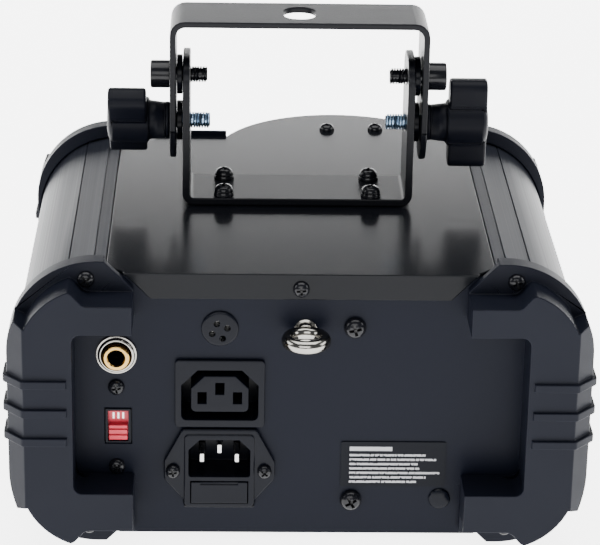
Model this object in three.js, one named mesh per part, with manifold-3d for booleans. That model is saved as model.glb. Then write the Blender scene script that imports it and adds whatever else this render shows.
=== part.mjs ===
// A compact fog machine with an aluminium and sheet steel body, moulded bumpers and a tilting
// hanging bracket. Millimetres, +Z up. The mains and control panel faces -Y, the fog leaves
// towards +Y, and the origin is the bottom centre of the whole machine.
import * as THREE from 'three';
import { mergeVertices } from 'three/addons/utils/BufferGeometryUtils.js';
import Module from 'manifold-3d';

const wasm = await Module();
wasm.setup();

// ---------------------------------------------------------------- driving dimensions
const gap = 0.3; // air between pieces that touch
const bodyHeight = 120; // over the bumpers, which are also the feet
const bodyDepth = 168; // rear panel to front panel, outside faces
const bumperHalfWidth = 114.2;
const bumperCorner = 34.5; // outer corner radius of a bumper
const bumperRise = 20; // pad face in front of its panel
const plateauRise = 3.8; // thin rim of the bumper in front of its panel
const skirt = 4.3; // how far a bumper laps back over the side extrusion
const ribRise = 1.5;
const tongueReach = 32; // round tongue of the top plate in front of the front panel
const tongueRadius = 53;
const tongueCentreX = 19.5;
const plateTop = 114.5; // upper face of the top plate
const plateHalfWidth = 76.1;
const sheet = 1.2; // cover sheet thickness
const panel = 1.5; // rear and front panel thickness
const shellHalfWidth = 112.5; // side extrusion
const shellCorner = 35.5;
const shellWall = 2;
const strapWidth = 31; // both brackets
const lowerHalfWidth = 47.6;
const lowerThickness = 3;
const upperHalfWidth = 52.9;
const upperThickness = 2.5;
const overallHeight = 193.2;
const pivotHeight = 146.9;
const boltSpacing = 19.8; // tilt bolt above the pivot
const tiltLimit = THREE.MathUtils.degToRad(30);
const boltRadius = 3.4;

const rearY = -(bodyDepth + bumperRise + ribRise + tongueReach) / 2 + bumperRise + ribRise;
const frontY = rearY + bodyDepth;
const strapY = rearY + 91; // middle of the bracket straps
const shellBottom = bodyHeight - plateTop;

// ---------------------------------------------------------------- finishes
const finish = (color, roughness, metalness = 0) => ({ color, roughness, metalness });
const blackPlastic = finish(0x16171a, 0.5);
const blackPaint = finish(0x0d0d10, 0.25, 0.1);
const panelPaint = finish(0x1b1c20, 0.45, 0.1);
const anodised = finish(0x2c2e32, 0.35, 0.8);
const bracketPaint = finish(0x121316, 0.4, 0.1);
const blackSteel = finish(0x0c0c0e, 0.3, 0.6);
const zincBlue = finish(0x7d93ad, 0.25, 1);
const nickel = finish(0xd8d4cb, 0.15, 1);
const brass = finish(0xcaa25e, 0.25, 1);
const redPlastic = finish(0xb3202f, 0.4);
const gloss = finish(0x0a0a0c, 0.2);
const tinned = finish(0xe2e2e0, 0.2, 1);
const glass = finish(0xdfe8ea, 0.1);
const boardGreen = finish(0x1f5a3a, 0.5);
const castAluminium = finish(0xa8abb0, 0.5, 1);
const blanket = finish(0xd9d4c4, 0.95);
const galvanised = finish(0x9aa0a4, 0.4, 1);
const silicone = finish(0xd8d8d0, 0.5);
const tankPlastic = finish(0xdde3e2, 0.35);

// ---------------------------------------------------------------- shape helpers
// An outline from corners [a, b, radius]; a corner with a radius becomes an arc.
function outline(corners, steps = 6) {
  const points = [];
  corners.forEach(([a, b, radius = 0], i) => {
    const corner = new THREE.Vector2(a, b);
    if (radius === 0) {
      points.push(corner);
      return;
    }
    const before = new THREE.Vector2(...corners.at(i - 1).slice(0, 2)).sub(corner).normalize();
    const after = new THREE.Vector2(...corners[(i + 1) % corners.length].slice(0, 2))
      .sub(corner).normalize();
    const half = Math.acos(THREE.MathUtils.clamp(before.dot(after), -1, 1)) / 2;
    const centre = before.clone().add(after).normalize()
      .multiplyScalar(radius / Math.sin(half)).add(corner);
    const start = before.clone().multiplyScalar(radius / Math.tan(half)).add(corner).sub(centre);
    const sweep = (Math.PI - 2 * half) * Math.sign(after.cross(before));
    for (let k = 0; k <= steps; k += 1) {
      points.push(start.clone().rotateAround(new THREE.Vector2(), (sweep * k) / steps).add(centre));
    }
  });
  return new THREE.Shape(points);
}

const rectangle = (a0, a1, b0, b1, radius = 0, steps = 4) => outline(
  [[a0, b0, radius], [a1, b0, radius], [a1, b1, radius], [a0, b1, radius]], steps);

function circle(a, b, radius, steps = 20) {
  const points = [];
  for (let k = 0; k < steps; k += 1) {
    const angle = (2 * Math.PI * (k + 0.5)) / steps;
    points.push(new THREE.Vector2(a + radius * Math.cos(angle), b + radius * Math.sin(angle)));
  }
  return new THREE.Shape(points);
}

const extrude = (shape, depth) => new THREE.ExtrudeGeometry(shape, {
  depth, bevelEnabled: false, curveSegments: 8 });
// Outline in X and Y, raised from z0 to z1.
const alongZ = (shape, z0, z1) => extrude(shape, z1 - z0).translate(0, 0, z0);
// Outline in X and Z, pushed from y0 to y1.
const alongY = (shape, y0, y1) => extrude(shape, y1 - y0).rotateX(Math.PI / 2).translate(0, y1, 0);
// Outline in Y and Z, pushed from x0 to x1.
const alongX = (shape, x0, x1) => extrude(shape, x1 - x0)
  .applyMatrix4(new THREE.Matrix4().makeBasis(
    new THREE.Vector3(0, 1, 0), new THREE.Vector3(0, 0, 1), new THREE.Vector3(1, 0, 0)))
  .translate(x0, 0, 0);
const box = (x0, x1, y0, y1, z0, z1) => alongZ(rectangle(x0, x1, y0, y1), z0, z1);
const rodY = (x, z, radius, y0, y1, steps = 20) => alongY(circle(x, z, radius, steps), y0, y1);
const rodX = (y, z, radius, x0, x1, steps = 20) => alongX(circle(y, z, radius, steps), x0, x1);
const rodZ = (x, y, radius, z0, z1, steps = 20) => alongZ(circle(x, y, radius, steps), z0, z1);

// A turned piece: a profile of [radius, position] about an axis through (a, b).
function turned(axis, a, b, profile, steps = 20) {
  const points = profile.map(([radius, along]) => new THREE.Vector2(radius, along));
  const geometry = new THREE.LatheGeometry(points, steps);
  if (axis === 'x') geometry.rotateZ(-Math.PI / 2).translate(0, a, b);
  if (axis === 'z') geometry.rotateX(Math.PI / 2).translate(a, b, 0);
  if (axis === 'y') geometry.translate(a, 0, b);
  return geometry;
}

// The result of a boolean carries its own solid, so a chain of them loses no accuracy.
function toSolid(geometry) {
  if (geometry.userData.solid) return geometry.userData.solid;
  const bare = geometry.clone();
  bare.deleteAttribute('normal');
  bare.deleteAttribute('uv');
  const merged = mergeVertices(bare, 1e-4);
  return new wasm.Manifold(new wasm.Mesh({
    numProp: 3,
    vertProperties: new Float32Array(merged.attributes.position.array),
    triVerts: new Uint32Array(merged.index.array),
  }));
}

function toGeometry(solid) {
  const mesh = solid.getMesh();
  const geometry = new THREE.BufferGeometry();
  geometry.setAttribute('position', new THREE.BufferAttribute(mesh.vertProperties, 3));
  geometry.setIndex(new THREE.BufferAttribute(mesh.triVerts, 1));
  geometry.computeVertexNormals();
  geometry.userData.solid = solid;
  return geometry;
}

const union = (...parts) => toGeometry(
  parts.map(toSolid).reduce((sum, part) => sum.add(part)));
const cut = (body, ...tools) => toGeometry(
  tools.map(toSolid).reduce((rest, tool) => rest.subtract(tool), toSolid(body)));
const common = (a, b) => toGeometry(toSolid(a).intersect(toSolid(b)));

// A mirror image in the plane where the axis equals `at`, with its faces turned back outwards.
function mirrored(geometry, axis, at = 0) {
  const copy = geometry.index ? geometry.toNonIndexed() : geometry.clone();
  copy.deleteAttribute('normal');
  copy.deleteAttribute('uv');
  const scale = new THREE.Vector3(1, 1, 1).setComponent('xyz'.indexOf(axis), -1);
  const shift = new THREE.Vector3().setComponent('xyz'.indexOf(axis), 2 * at);
  copy.scale(...scale.toArray()).translate(...shift.toArray());
  const { array } = copy.attributes.position;
  for (let i = 0; i < array.length; i += 9) {
    for (let k = 0; k < 3; k += 1) {
      [array[i + k], array[i + 3 + k]] = [array[i + 3 + k], array[i + k]];
    }
  }
  const merged = mergeVertices(copy, 1e-4);
  merged.computeVertexNormals();
  return merged;
}

// ---------------------------------------------------------------- the assembly
const machine = new THREE.Group();
machine.name = 'fog_machine';

function place(name, geometry, look, parent = machine) {
  const mesh = new THREE.Mesh(geometry, new THREE.MeshStandardMaterial(look));
  mesh.name = name;
  parent.add(mesh);
  return mesh;
}

// ---------------------------------------------------------------- side extrusions
// A curved C of extruded aluminium with lips under the cover plates and two fine grooves.
function sideExtrusion() {
  const innerX = plateHalfWidth + gap + 0.1;
  const lipX = 68;
  const lipThickness = 1.8;
  const lipTop = plateTop - sheet - gap - 0.2;
  const centreX = shellHalfWidth - shellCorner;
  const centreZ = plateTop - shellCorner;
  const inner = shellCorner - shellWall;
  const onArc = (radius, angle) => [
    centreX + radius * Math.cos(angle), centreZ + radius * Math.sin(angle)];
  const groove = (x) => {
    const angle = Math.acos((x - centreX) / shellCorner);
    const half = 0.011;
    return [[shellCorner, angle + half], [shellCorner - 0.6, angle + half],
      [shellCorner - 0.6, angle - half], [shellCorner, angle - half]];
  };
  const outer = [...groove(80.9), ...groove(91.3)];
  const arcSteps = 9;
  for (let k = 1; k <= arcSteps; k += 1) {
    outer.push([shellCorner, 1.1 * (1 - k / arcSteps)]);
  }
  const lipEnd = Math.asin((lipTop - lipThickness - centreZ) / inner);
  const innerArc = [];
  for (let k = 0; k <= arcSteps; k += 1) {
    innerArc.push([inner, lipEnd * (k / arcSteps)]);
  }
  const upper = [[lipX, lipTop], [innerX, lipTop], [innerX, plateTop],
    ...outer.map(([radius, angle]) => onArc(radius, angle))];
  const upperInner = [...innerArc.map(([radius, angle]) => onArc(radius, angle)),
    [lipX, lipTop - lipThickness]];
  const flip = ([x, z]) => [x, bodyHeight - z];
  const points = [...upper, ...upper.map(flip).reverse(),
    ...upperInner.map(flip).reverse(), ...upperInner];
  const shape = new THREE.Shape(points.map(([x, z]) => new THREE.Vector2(x, z)));
  return alongY(shape, rearY + panel + gap, frontY - panel - gap);
}

// ---------------------------------------------------------------- bumpers
// One end moulding: a thin rim, a skirt over the extrusion, a C-shaped pad and three ribs,
// hollow from behind. This is the rear right one; the others are its mirror images.
function bumper() {
  const cornerX = bumperHalfWidth - bumperCorner;
  const top = bodyHeight;
  const armX = 65.2; // inner ends of the C's arms
  const recess = { x: 88.4, z0: 28.5, z1: 95.8, radius: 3.5 };
  const rimTop = 76.4; // top inner corner of the rim
  const armTop = 107.7;
  const padRadius = 29.7; // pad outline, about the same centre as the outer corner
  const padFaceX = 107.3;
  const wall = 2.4;
  const backY = rearY - gap;
  const rimY = rearY - plateauRise;
  const padY = rearY - bumperRise;

  const ring = outline([[rimTop, top], [bumperHalfWidth, top, bumperCorner],
    [bumperHalfWidth, 0, bumperCorner], [rimTop, 0], [72, 4.4], [armX, 4.4],
    [armX, recess.z0], [recess.x, recess.z0, recess.radius],
    [recess.x, recess.z1, recess.radius], [armX, recess.z1], [armX, armTop + 1]], 6);
  const rim = alongY(ring, rimY, backY);

  const cornerShape = outline([[rimTop, top], [bumperHalfWidth, top, bumperCorner],
    [bumperHalfWidth, 0, bumperCorner], [rimTop, 0]], 6);
  const hollow = outline([[rimTop - 5, plateTop + gap],
    [shellHalfWidth + gap, plateTop + gap, shellCorner],
    [shellHalfWidth + gap, shellBottom - gap, shellCorner], [rimTop - 5, shellBottom - gap]], 6);
  const skirtBody = cut(alongY(cornerShape, backY - 0.5, rearY + skirt),
    alongY(hollow, backY - 1, rearY + skirt + 1));

  // The C of the pad, drawn smaller by `inset` for the hollow behind it.
  const padShape = (inset) => outline([
    [armX + inset, top - 4.8 - inset],
    [cornerX + padRadius - inset, top - 4.8 - inset, padRadius - inset],
    [cornerX + padRadius - inset, 4.8 + inset, padRadius - inset],
    [armX + inset, 4.8 + inset],
    [armX + inset, recess.z0 - inset], [recess.x + inset, recess.z0 - inset, recess.radius],
    [recess.x + inset, recess.z1 + inset, recess.radius], [armX + inset, recess.z1 + inset]], 6);
  const screwPocket = (inset) => [[armX - 2, armTop - inset], [84 + inset / 2, armTop - inset, 2.5],
    [89.5 + inset, top - 5.6, 1], [89.5 + inset, top + 2], [armX - 2, top + 2]];
  const flipped = (corners) => corners.map(([x, z, radius]) => [x, top - z, radius]).reverse();
  const pockets = (inset, y0, y1) => [
    alongY(outline(screwPocket(inset), 3), y0, y1),
    alongY(outline(flipped(screwPocket(inset)), 3), y0, y1)];
  const block = cut(alongY(padShape(0), padY, rimY + 1), ...pockets(0, padY - 1, rimY + 2));

  // The side strip fills the pad out to the outer corner between two radial ends.
  const radial = Math.tan(THREE.MathUtils.degToRad(25));
  const reach = 45;
  const upperEnd = top - bumperCorner;
  const strip = common(
    alongY(cornerShape, padY, rimY + 1),
    alongY(outline([[100, upperEnd + 20 * radial], [100, bumperCorner - 20 * radial],
      [cornerX + reach, bumperCorner - reach * radial],
      [cornerX + reach, upperEnd + reach * radial]]), padY, rimY + 1));
  const bevelled = alongZ(outline([[60, padY], [padFaceX, padY], [bumperHalfWidth + 0.01, padY + 8],
    [bumperHalfWidth + 0.01, rearY + 10], [60, rearY + 10]]), -1, top + 1);
  const pad = common(union(block, strip), bevelled);

  const ribSection = (outset) => outline([[90.6, padY - outset, 1], [padFaceX + 0.6, padY - outset, 2],
    [bumperHalfWidth + outset, padY + 7, 2], [bumperHalfWidth + outset, rimY + 2.4, 0.6],
    [bumperHalfWidth - 3, rimY + 2.4], [padFaceX - 3, padY + 3], [90.6, padY + 3]], 2);
  const ribs = [75.3, 63.2, 51.1].map((z) => alongZ(ribSection(ribRise), z - 1.7, z + 1.7));

  const core = common(alongY(padShape(wall), padY + wall, rearY + 1),
    box(60, padFaceX - wall, padY, rearY + 2, 0, top));
  const hollowCore = cut(core, ...pockets(wall, padY, rearY + 2));
  return cut(union(rim, skirtBody, pad, ...ribs), hollowCore);
}

const middleY = (rearY + frontY) / 2;
const rearRight = bumper();
const rearLeft = mirrored(rearRight, 'x');
place('right_side_extrusion', sideExtrusion(), anodised);
place('left_side_extrusion', mirrored(sideExtrusion(), 'x'), anodised);
place('rear_right_bumper', rearRight, blackPlastic);
place('rear_left_bumper', rearLeft, blackPlastic);
place('front_right_bumper', mirrored(rearRight, 'y', middleY), blackPlastic);
place('front_left_bumper', mirrored(rearLeft, 'y', middleY), blackPlastic);

// ---------------------------------------------------------------- rear panel fittings: places
const jack = { x: -72, z: 79.9 };
const selector = { x: -71.6, z: 48.9 };
const outlet = { x: -31.4, z: 63.6 };
const inlet = { x: -31.4, z: 31.3 };
const eye = { x: 2, z: 90.6 };
const microphone = { x: -31.5, z: 91.1 };
const panelScrews = [{ name: 'upper_panel_screw', x: 21.4, z: 91.9 },
  { name: 'lower_panel_screw', x: 21.4, z: 17 }];
const plug = { x: 57, z: 17.7 };
const nozzle = { x: -48, z: 60 };
const screwX = 30.5; // bracket foot screws
const screwOffsets = [-11, 10];

// ---------------------------------------------------------------- panels and plates
function panelOutline() {
  const halfWidth = shellHalfWidth - 0.8;
  const low = shellBottom + 0.8;
  return outline([[halfWidth, plateTop - sheet - gap, 34.6], [halfWidth, low, 34.6], [76, low],
    [71.5, 2], [-71.5, 2], [-76, low], [-halfWidth, low, 34.6],
    [-halfWidth, plateTop - sheet - gap, 34.6]], 8);
}

const through = [rearY - 1, rearY + panel + 1];
place('rear_panel', cut(
  alongY(panelOutline(), rearY, rearY + panel),
  rodY(jack.x, jack.z, 5.6, ...through),
  alongY(rectangle(selector.x - 5.4, selector.x + 5.4, selector.z - 7.8, selector.z + 7.8), ...through),
  alongY(rectangle(outlet.x - 16.9, outlet.x + 16.9, outlet.z - 13.7, outlet.z + 13.7), ...through),
  alongY(rectangle(inlet.x - 14.2, inlet.x + 14.2, inlet.z - 16.6, inlet.z + 16.6), ...through),
  rodY(eye.x, eye.z, 3.4, ...through, 12),
  rodY(microphone.x, microphone.z, 6.6, ...through),
  ...panelScrews.map(({ x, z }) => rodY(x, z, 2.3, ...through, 12)),
  rodY(plug.x, plug.z, 3.4, ...through, 12),
), panelPaint);

const tank = { x0: -25, x1: 63.6, back: frontY - 50, radius: 50, z0: 11, z1: 96 };
const tongueCentreY = frontY + tongueReach - tongueRadius;
const lip = { x0: -62, x1: -29.7, top: 116.5, depth: 1.4 };
place('front_panel', cut(
  union(alongY(panelOutline(), frontY - panel, frontY),
    box(lip.x0, lip.x1, frontY - 0.5, frontY + lip.depth, 100, 112),
    box(lip.x0, lip.x1, frontY + 0.1, frontY + lip.depth, 111, lip.top)),
  box(tank.x0 - 1, tank.x1 + 1, frontY - 3, frontY + 3, tank.z0 - 2.5, 110.8),
  rodY(nozzle.x, nozzle.z, 7.6, frontY - 3, frontY + 3),
), panelPaint);

// Cover plate: folded down at the rear, round tongue at the front over the fluid tank.
function topPlate() {
  const rear = rearY - gap - sheet;
  const front = frontY - gap;
  const frontEdge = frontY + 1.5;
  const chord = Math.sqrt(tongueRadius ** 2 - (frontEdge - tongueCentreY) ** 2);
  const leftChord = Math.sqrt(tongueRadius ** 2 - (front - tongueCentreY) ** 2);
  const start = Math.atan2(frontEdge - tongueCentreY, chord);
  const end = Math.PI - Math.atan2(front - tongueCentreY, leftChord);
  const points = [[-69.2, rear], [69.2, rear], [69.2, rearY + 0.4], [plateHalfWidth, rearY + 7],
    [plateHalfWidth, frontY - 7], [69.2, frontY - 0.4], [69.2, frontEdge]];
  const steps = 24;
  for (let k = 0; k <= steps; k += 1) {
    const angle = start + ((end - start) * k) / steps;
    points.push([tongueCentreX + tongueRadius * Math.cos(angle),
      tongueCentreY + tongueRadius * Math.sin(angle)]);
  }
  points.push([-69.2, front], [-plateHalfWidth, frontY - 7], [-plateHalfWidth, rearY + 7],
    [-69.2, rearY + 0.4]);
  const shape = new THREE.Shape(points.map(([x, y]) => new THREE.Vector2(x, y)));
  const flange = alongY(outline([[-69.2, plateTop], [-58.7, 103.8], [58.7, 103.8], [69.2, plateTop]]),
    rear, rearY - gap);
  const flat = alongZ(shape, plateTop - sheet, plateTop);
  const holes = [-screwX, screwX].flatMap((x) => screwOffsets.map(
    (dy) => rodZ(x, strapY + dy, 2.2, plateTop - 4, plateTop + 4, 12)));
  return cut(union(flat, flange), ...holes);
}
place('top_plate', topPlate(), blackPaint);

const ventPitch = 9;
const vents = [-2, -1, 0, 1, 2].map((k) => alongZ(
  rectangle(nozzle.x - 20, nozzle.x + 20, k * ventPitch + 20, k * ventPitch + 24, 1.9), 0, 20));
place('bottom_plate', cut(box(-plateHalfWidth, plateHalfWidth, rearY + panel + gap,
  frontY - panel - gap, shellBottom, shellBottom + sheet), ...vents), panelPaint);

// ---------------------------------------------------------------- brackets
// A U of strap seen along Y; `up` is 1 for arms that rise and -1 for arms that hang.
function strapU(halfWidth, thickness, baseZ, endZ, bend) {
  const up = Math.sign(endZ - baseZ);
  const inner = halfWidth - thickness;
  const corners = [[-halfWidth, endZ], [-halfWidth, baseZ, bend], [halfWidth, baseZ, bend],
    [halfWidth, endZ], [inner, endZ], [inner, baseZ + up * thickness, bend - thickness + 0.4],
    [-inner, baseZ + up * thickness, bend - thickness + 0.4], [-inner, endZ]];
  return alongY(outline(corners, 5), strapY - strapWidth / 2, strapY + strapWidth / 2);
}

const lowerTop = 176;
const foot = plateTop + gap;
const across = (halfWidth) => [-halfWidth, halfWidth];
// Everything outside a rounded arm end, seen along X.
const armEnd = (z, direction, radius) => cut(
  alongX(rectangle(strapY - 30, strapY + 30, Math.min(z, z - direction * 15),
    Math.max(z, z - direction * 15)), ...across(70)),
  alongX(rectangle(strapY - strapWidth / 2 - 0.01, strapY + strapWidth / 2 + 0.01,
    Math.min(z, z - direction * 60), Math.max(z, z - direction * 60), radius, 6), ...across(71)));
const boltHeight = pivotHeight + boltSpacing;

place('lower_bracket', cut(
  strapU(lowerHalfWidth, lowerThickness, foot, lowerTop, 4.5),
  armEnd(lowerTop, 1, 10),
  rodX(strapY, pivotHeight, boltRadius + gap, ...across(60), 12),
  rodX(strapY, boltHeight, boltRadius + gap, ...across(60), 12),
  ...[-screwX, screwX].flatMap((x) => screwOffsets.map(
    (dy) => rodZ(x, strapY + dy, 2.2, foot - 2, foot + 6, 12))),
), bracketPaint);

// The tilt slot: an arc about the pivot, wide enough for the bolt, with round ends.
function tiltSlot() {
  const halfSlot = boltRadius + gap + 0.1;
  const end = tiltLimit + 0.03;
  const steps = 10;
  const polar = (radius, angle, y = strapY, z = pivotHeight) => new THREE.Vector2(
    y + radius * Math.sin(angle), z + radius * Math.cos(angle));
  const arc = (radius, from, to) => Array.from({ length: steps + 1 },
    (_, k) => polar(radius, from + ((to - from) * k) / steps));
  const roundEnd = (angle, first) => {
    const centre = polar(boltSpacing, angle);
    return [1, 2, 3, 4, 5].map((k) => polar(halfSlot, first + (Math.PI * k) / 6, centre.x, centre.y));
  };
  return alongX(new THREE.Shape([
    ...arc(boltSpacing + halfSlot, -end, end), ...roundEnd(end, end),
    ...arc(boltSpacing - halfSlot, end, -end), ...roundEnd(-end, Math.PI - end),
  ]), ...across(70));
}

const armBottom = pivotHeight - strapWidth / 2;
const hangHole = outline([[-6.5, strapY - 8.75, 6.4], [6.5, strapY - 8.75, 6.4],
  [6.5, strapY + 8.75, 6.4], [-6.5, strapY + 8.75, 6.4]], 5);
place('tilt_bracket', cut(
  strapU(upperHalfWidth, upperThickness, overallHeight, armBottom, 6),
  armEnd(armBottom, -1, strapWidth / 2 - 0.1),
  rodX(strapY, pivotHeight, boltRadius + gap, ...across(70), 12),
  tiltSlot(),
  alongZ(hangHole, overallHeight - 6, overallHeight + 2),
), bracketPaint);

// ---------------------------------------------------------------- knobs, bolts and washers
const armFace = upperHalfWidth + gap;
const studEnd = 36.4;
function knob(turn) {
  const hubEnd = 79;
  const bossEnd = 62.7;
  const wing = outline([[-18.7, -4.6, 3.5], [-9, -4.6, 5], [0, -9.6, 8], [9, -4.6, 5], [18.7, -4.6, 3.5],
    [18.7, 4.6, 3.5], [9, 4.6, 5], [0, 9.6, 8], [-9, 4.6, 5], [-18.7, 4.6, 3.5]], 3);
  const boss = turned('x', 0, 0, [[0, armFace], [7.6, armFace], [8.8, bossEnd + 1], [0, bossEnd + 1]], 24);
  const body = union(alongX(wing, bossEnd, hubEnd), boss);
  const bored = cut(body, rodX(0, 0, boltRadius + gap, armFace - 1, 70, 16));
  return bored.rotateX(turn).translate(0, strapY, pivotHeight);
}
const stud = () => turned('x', strapY, pivotHeight,
  [[0, studEnd], [boltRadius - 0.5, studEnd], [boltRadius, studEnd + 0.7], [boltRadius, 69.4], [0, 69.4]], 16);

const headEnd = armFace + 7.9;
const boltTip = 37.6;
const tiltBolt = () => cut(
  turned('x', strapY, boltHeight, [[0, boltTip], [boltRadius - 0.5, boltTip], [boltRadius, boltTip + 0.7],
    [boltRadius, armFace], [5.75, armFace], [5.75, headEnd - 0.6], [5.1, headEnd], [0, headEnd]], 24),
  rodX(strapY, boltHeight, 2.9, headEnd - 3.5, headEnd + 1, 6));
const washer = (z) => turned('x', strapY, z, [[boltRadius + gap, lowerHalfWidth + gap],
  [8.25, lowerHalfWidth + gap], [8.25, upperHalfWidth - upperThickness - gap],
  [boltRadius + gap, upperHalfWidth - upperThickness - gap], [boltRadius + gap, lowerHalfWidth + gap]], 24);

const leftKnobTurn = THREE.MathUtils.degToRad(-50); // its near wing points up
place('right_knob', knob(Math.PI / 2), blackPlastic);
place('left_knob', mirrored(knob(leftKnobTurn), 'x'), blackPlastic);
place('right_knob_stud', stud(), zincBlue);
place('left_knob_stud', mirrored(stud(), 'x'), zincBlue);
place('right_tilt_bolt', tiltBolt(), blackSteel);
place('left_tilt_bolt', mirrored(tiltBolt(), 'x'), blackSteel);
for (const [level, z] of [['lower', pivotHeight], ['upper', boltHeight]]) {
  place(`right_${level}_washer`, washer(z), gloss);
  place(`left_${level}_washer`, mirrored(washer(z), 'x'), gloss);
}

const headUnderside = foot + lowerThickness + gap;
for (const side of ['left', 'right']) {
  for (const [where, offset] of [['rear', screwOffsets[0]], ['front', screwOffsets[1]]]) {
    const x = side === 'left' ? -screwX : screwX;
    const profile = [[0, -7], [1.8, -7], [1.8, 0], [3.9, 0], [3.9, 1.4], [2.8, 2.7], [0, 3]]
      .map(([radius, z]) => [radius, z + headUnderside]);
    place(`${side}_${where}_bracket_screw`, turned('z', x, strapY + offset, profile, 16), blackSteel);
  }
}

// ---------------------------------------------------------------- sockets and controls
// Quarter inch control jack.
const outsideY = rearY - gap;
place('jack_nut', cut(alongY(circle(jack.x, jack.z, 8.1, 24), outsideY - 2.2, outsideY),
  rodY(jack.x, jack.z, 5.5, outsideY - 3, outsideY + 1)), nickel);
place('jack_bush', cut(rodY(jack.x, jack.z, 5.2, rearY - 5, rearY + 4, 24),
  rodY(jack.x, jack.z, 3.25, rearY - 6, rearY + 5)), brass);
place('jack_housing', cut(box(jack.x - 7, jack.x + 7, rearY + 4.3, rearY + 27, jack.z - 7, jack.z + 7),
  rodY(jack.x, jack.z, 3.25, rearY + 4, rearY + 24)), gloss);

// Slide selector for the supply voltage.
const around = (centre, half) => [centre - half, centre + half];
const sliderWindow = rectangle(...around(selector.x, 4.1), ...around(selector.z, 6.6));
place('voltage_selector', cut(
  union(alongY(rectangle(...around(selector.x, 5.1), ...around(selector.z, 7.5)), outsideY, rearY + 3),
    box(...around(selector.x, 6.4), rearY + panel + gap, rearY + 13, 33.2, 64.2)),
  alongY(sliderWindow, outsideY - 1, rearY + 4),
  box(...around(selector.x, 4.4), rearY + 2.6, rearY + 9, 34.2, 63.5)), gloss);
const sliderGrooves = [44.6, 47].map((z) => box(...around(selector.x, 5), rearY - 1, rearY + 0.9, z, z + 0.9));
place('voltage_slider', cut(
  union(box(...around(selector.x, 4), rearY + 3, rearY + 6, 35, 56.9),
    box(...around(selector.x, 3.7), rearY + 0.1, rearY + 3.5, 42.7, 49)), ...sliderGrooves), redPlastic);

// Mains outlet with a rectangular tongue and three slots.
const contactPitch = 7;
const recess = { half: 15.2, z0: 52.4, z1: 73.8, chamfer: 6.5 };
const tongue = { half: 11.4, z0: 55.7, z1: 71.1, chamfer: 5.2 };
const chamfered = (half, z0, z1, chamfer) => outline([[outlet.x - half, z0], [outlet.x + half, z0],
  [outlet.x + half, z1 - chamfer], [outlet.x + half - chamfer, z1],
  [outlet.x - half + chamfer, z1], [outlet.x - half, z1 - chamfer]]);
const slot = (x, z, y0, y1) => box(x - 1.3, x + 1.3, y0, y1, z - 2.6, z + 2.6);
const contacts = (z) => [[outlet.x - contactPitch, z], [outlet.x + contactPitch, z], [outlet.x, z + 4]];
place('mains_outlet', cut(
  union(alongY(rectangle(outlet.x - 17.7, outlet.x + 17.7, outlet.z - 14.4, outlet.z + 14.4, 1.5),
    outsideY - 1.6, outsideY),
  box(outlet.x - 16.6, outlet.x + 16.6, outsideY - 0.5, rearY + 22, outlet.z - 13.4, outlet.z + 13.4)),
  cut(alongY(chamfered(recess.half, recess.z0, recess.z1, recess.chamfer), outsideY - 3, rearY + 16),
    alongY(chamfered(tongue.half, tongue.z0, tongue.z1, tongue.chamfer), outsideY - 1, rearY + 17)),
  ...contacts(61.7).map(([x, z]) => slot(x, z, outsideY - 3, rearY + 17)),
), gloss);

// Fused mains inlet.
const inletFace = outsideY - 3;
const inletFlange = outline([[-46.2, 48.6, 1.5], [-16.6, 48.6, 1.5], [-9.3, 34.5, 3.5], [-9.3, 27, 3.5],
  [-17.2, 17.5], [-17.2, 14.2, 0.8], [-45.6, 14.2, 0.8], [-45.6, 17.5], [-53.5, 27, 3.5],
  [-53.5, 34.5, 3.5]].reverse(), 4);
const pinTip = rearY + 1.6;
const socketFloor = rearY + 13;
const pinPlaces = contacts(34.2);
place('mains_inlet', cut(
  union(alongY(inletFlange, inletFace, outsideY),
    box(inlet.x - 13.9, inlet.x + 13.9, outsideY - 1, rearY + 30, 15, 47.6)),
  alongY(chamfered(12.25, 28.2, 44.3, 4), inletFace - 1, socketFloor),
  ...pinPlaces.map(([x, z]) => slot(x, z, socketFloor - 1, rearY + 31)),
  box(inlet.x - 11.5, inlet.x + 11.5, inletFace - 1, rearY + 22, 16.5, 26.3),
), gloss);
['neutral', 'live', 'earth'].forEach((name, i) => {
  const [x, z] = pinPlaces[i];
  place(`inlet_${name}_pin`, box(x - 1, x + 1, pinTip, rearY + 36, z - 2, z + 2), tinned);
});

// The fuse drawer pulls straight out with its fuse.
place('fuse_drawer', cut(
  union(box(...around(inlet.x, 11.2), inletFace - 0.5, rearY - 1, 16.8, 26),
    box(...around(inlet.x, 11.2), rearY - 2, rearY + 14, 17, 25.6)),
  box(...around(inlet.x, 10.4), rearY + 0.5, rearY + 8.5, 18.4, 27),
  box(...around(inlet.x, 7.5), inletFace - 2, inletFace, 25, 27)), gloss);
place('fuse', turned('x', rearY + 4.5, 21.3, [[0, inlet.x - 10], [2.6, inlet.x - 10], [2.6, inlet.x + 10],
  [0, inlet.x + 10]], 16), glass);

// Sound trigger microphone.
const soundHoles = [[-1.2, 2.2], [2.9, 0.4], [-3, -2], [1.1, -4]];
place('microphone_grommet', cut(
  turned('y', microphone.x, microphone.z, [[0, rearY - 1.1], [6.4, rearY - 1.1], [7.4, rearY - 0.7],
    [7.4, outsideY], [6.2, outsideY], [6.2, rearY + 3], [0, rearY + 3]], 28),
  ...soundHoles.map(([dx, dz]) => rodY(microphone.x + dx, microphone.z + dz, 1.25,
    rearY - 3, rearY + 4, 10))), gloss);
place('microphone_capsule', rodY(microphone.x, microphone.z, 4.85, rearY + 3.3, rearY + 10), tinned);

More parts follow.
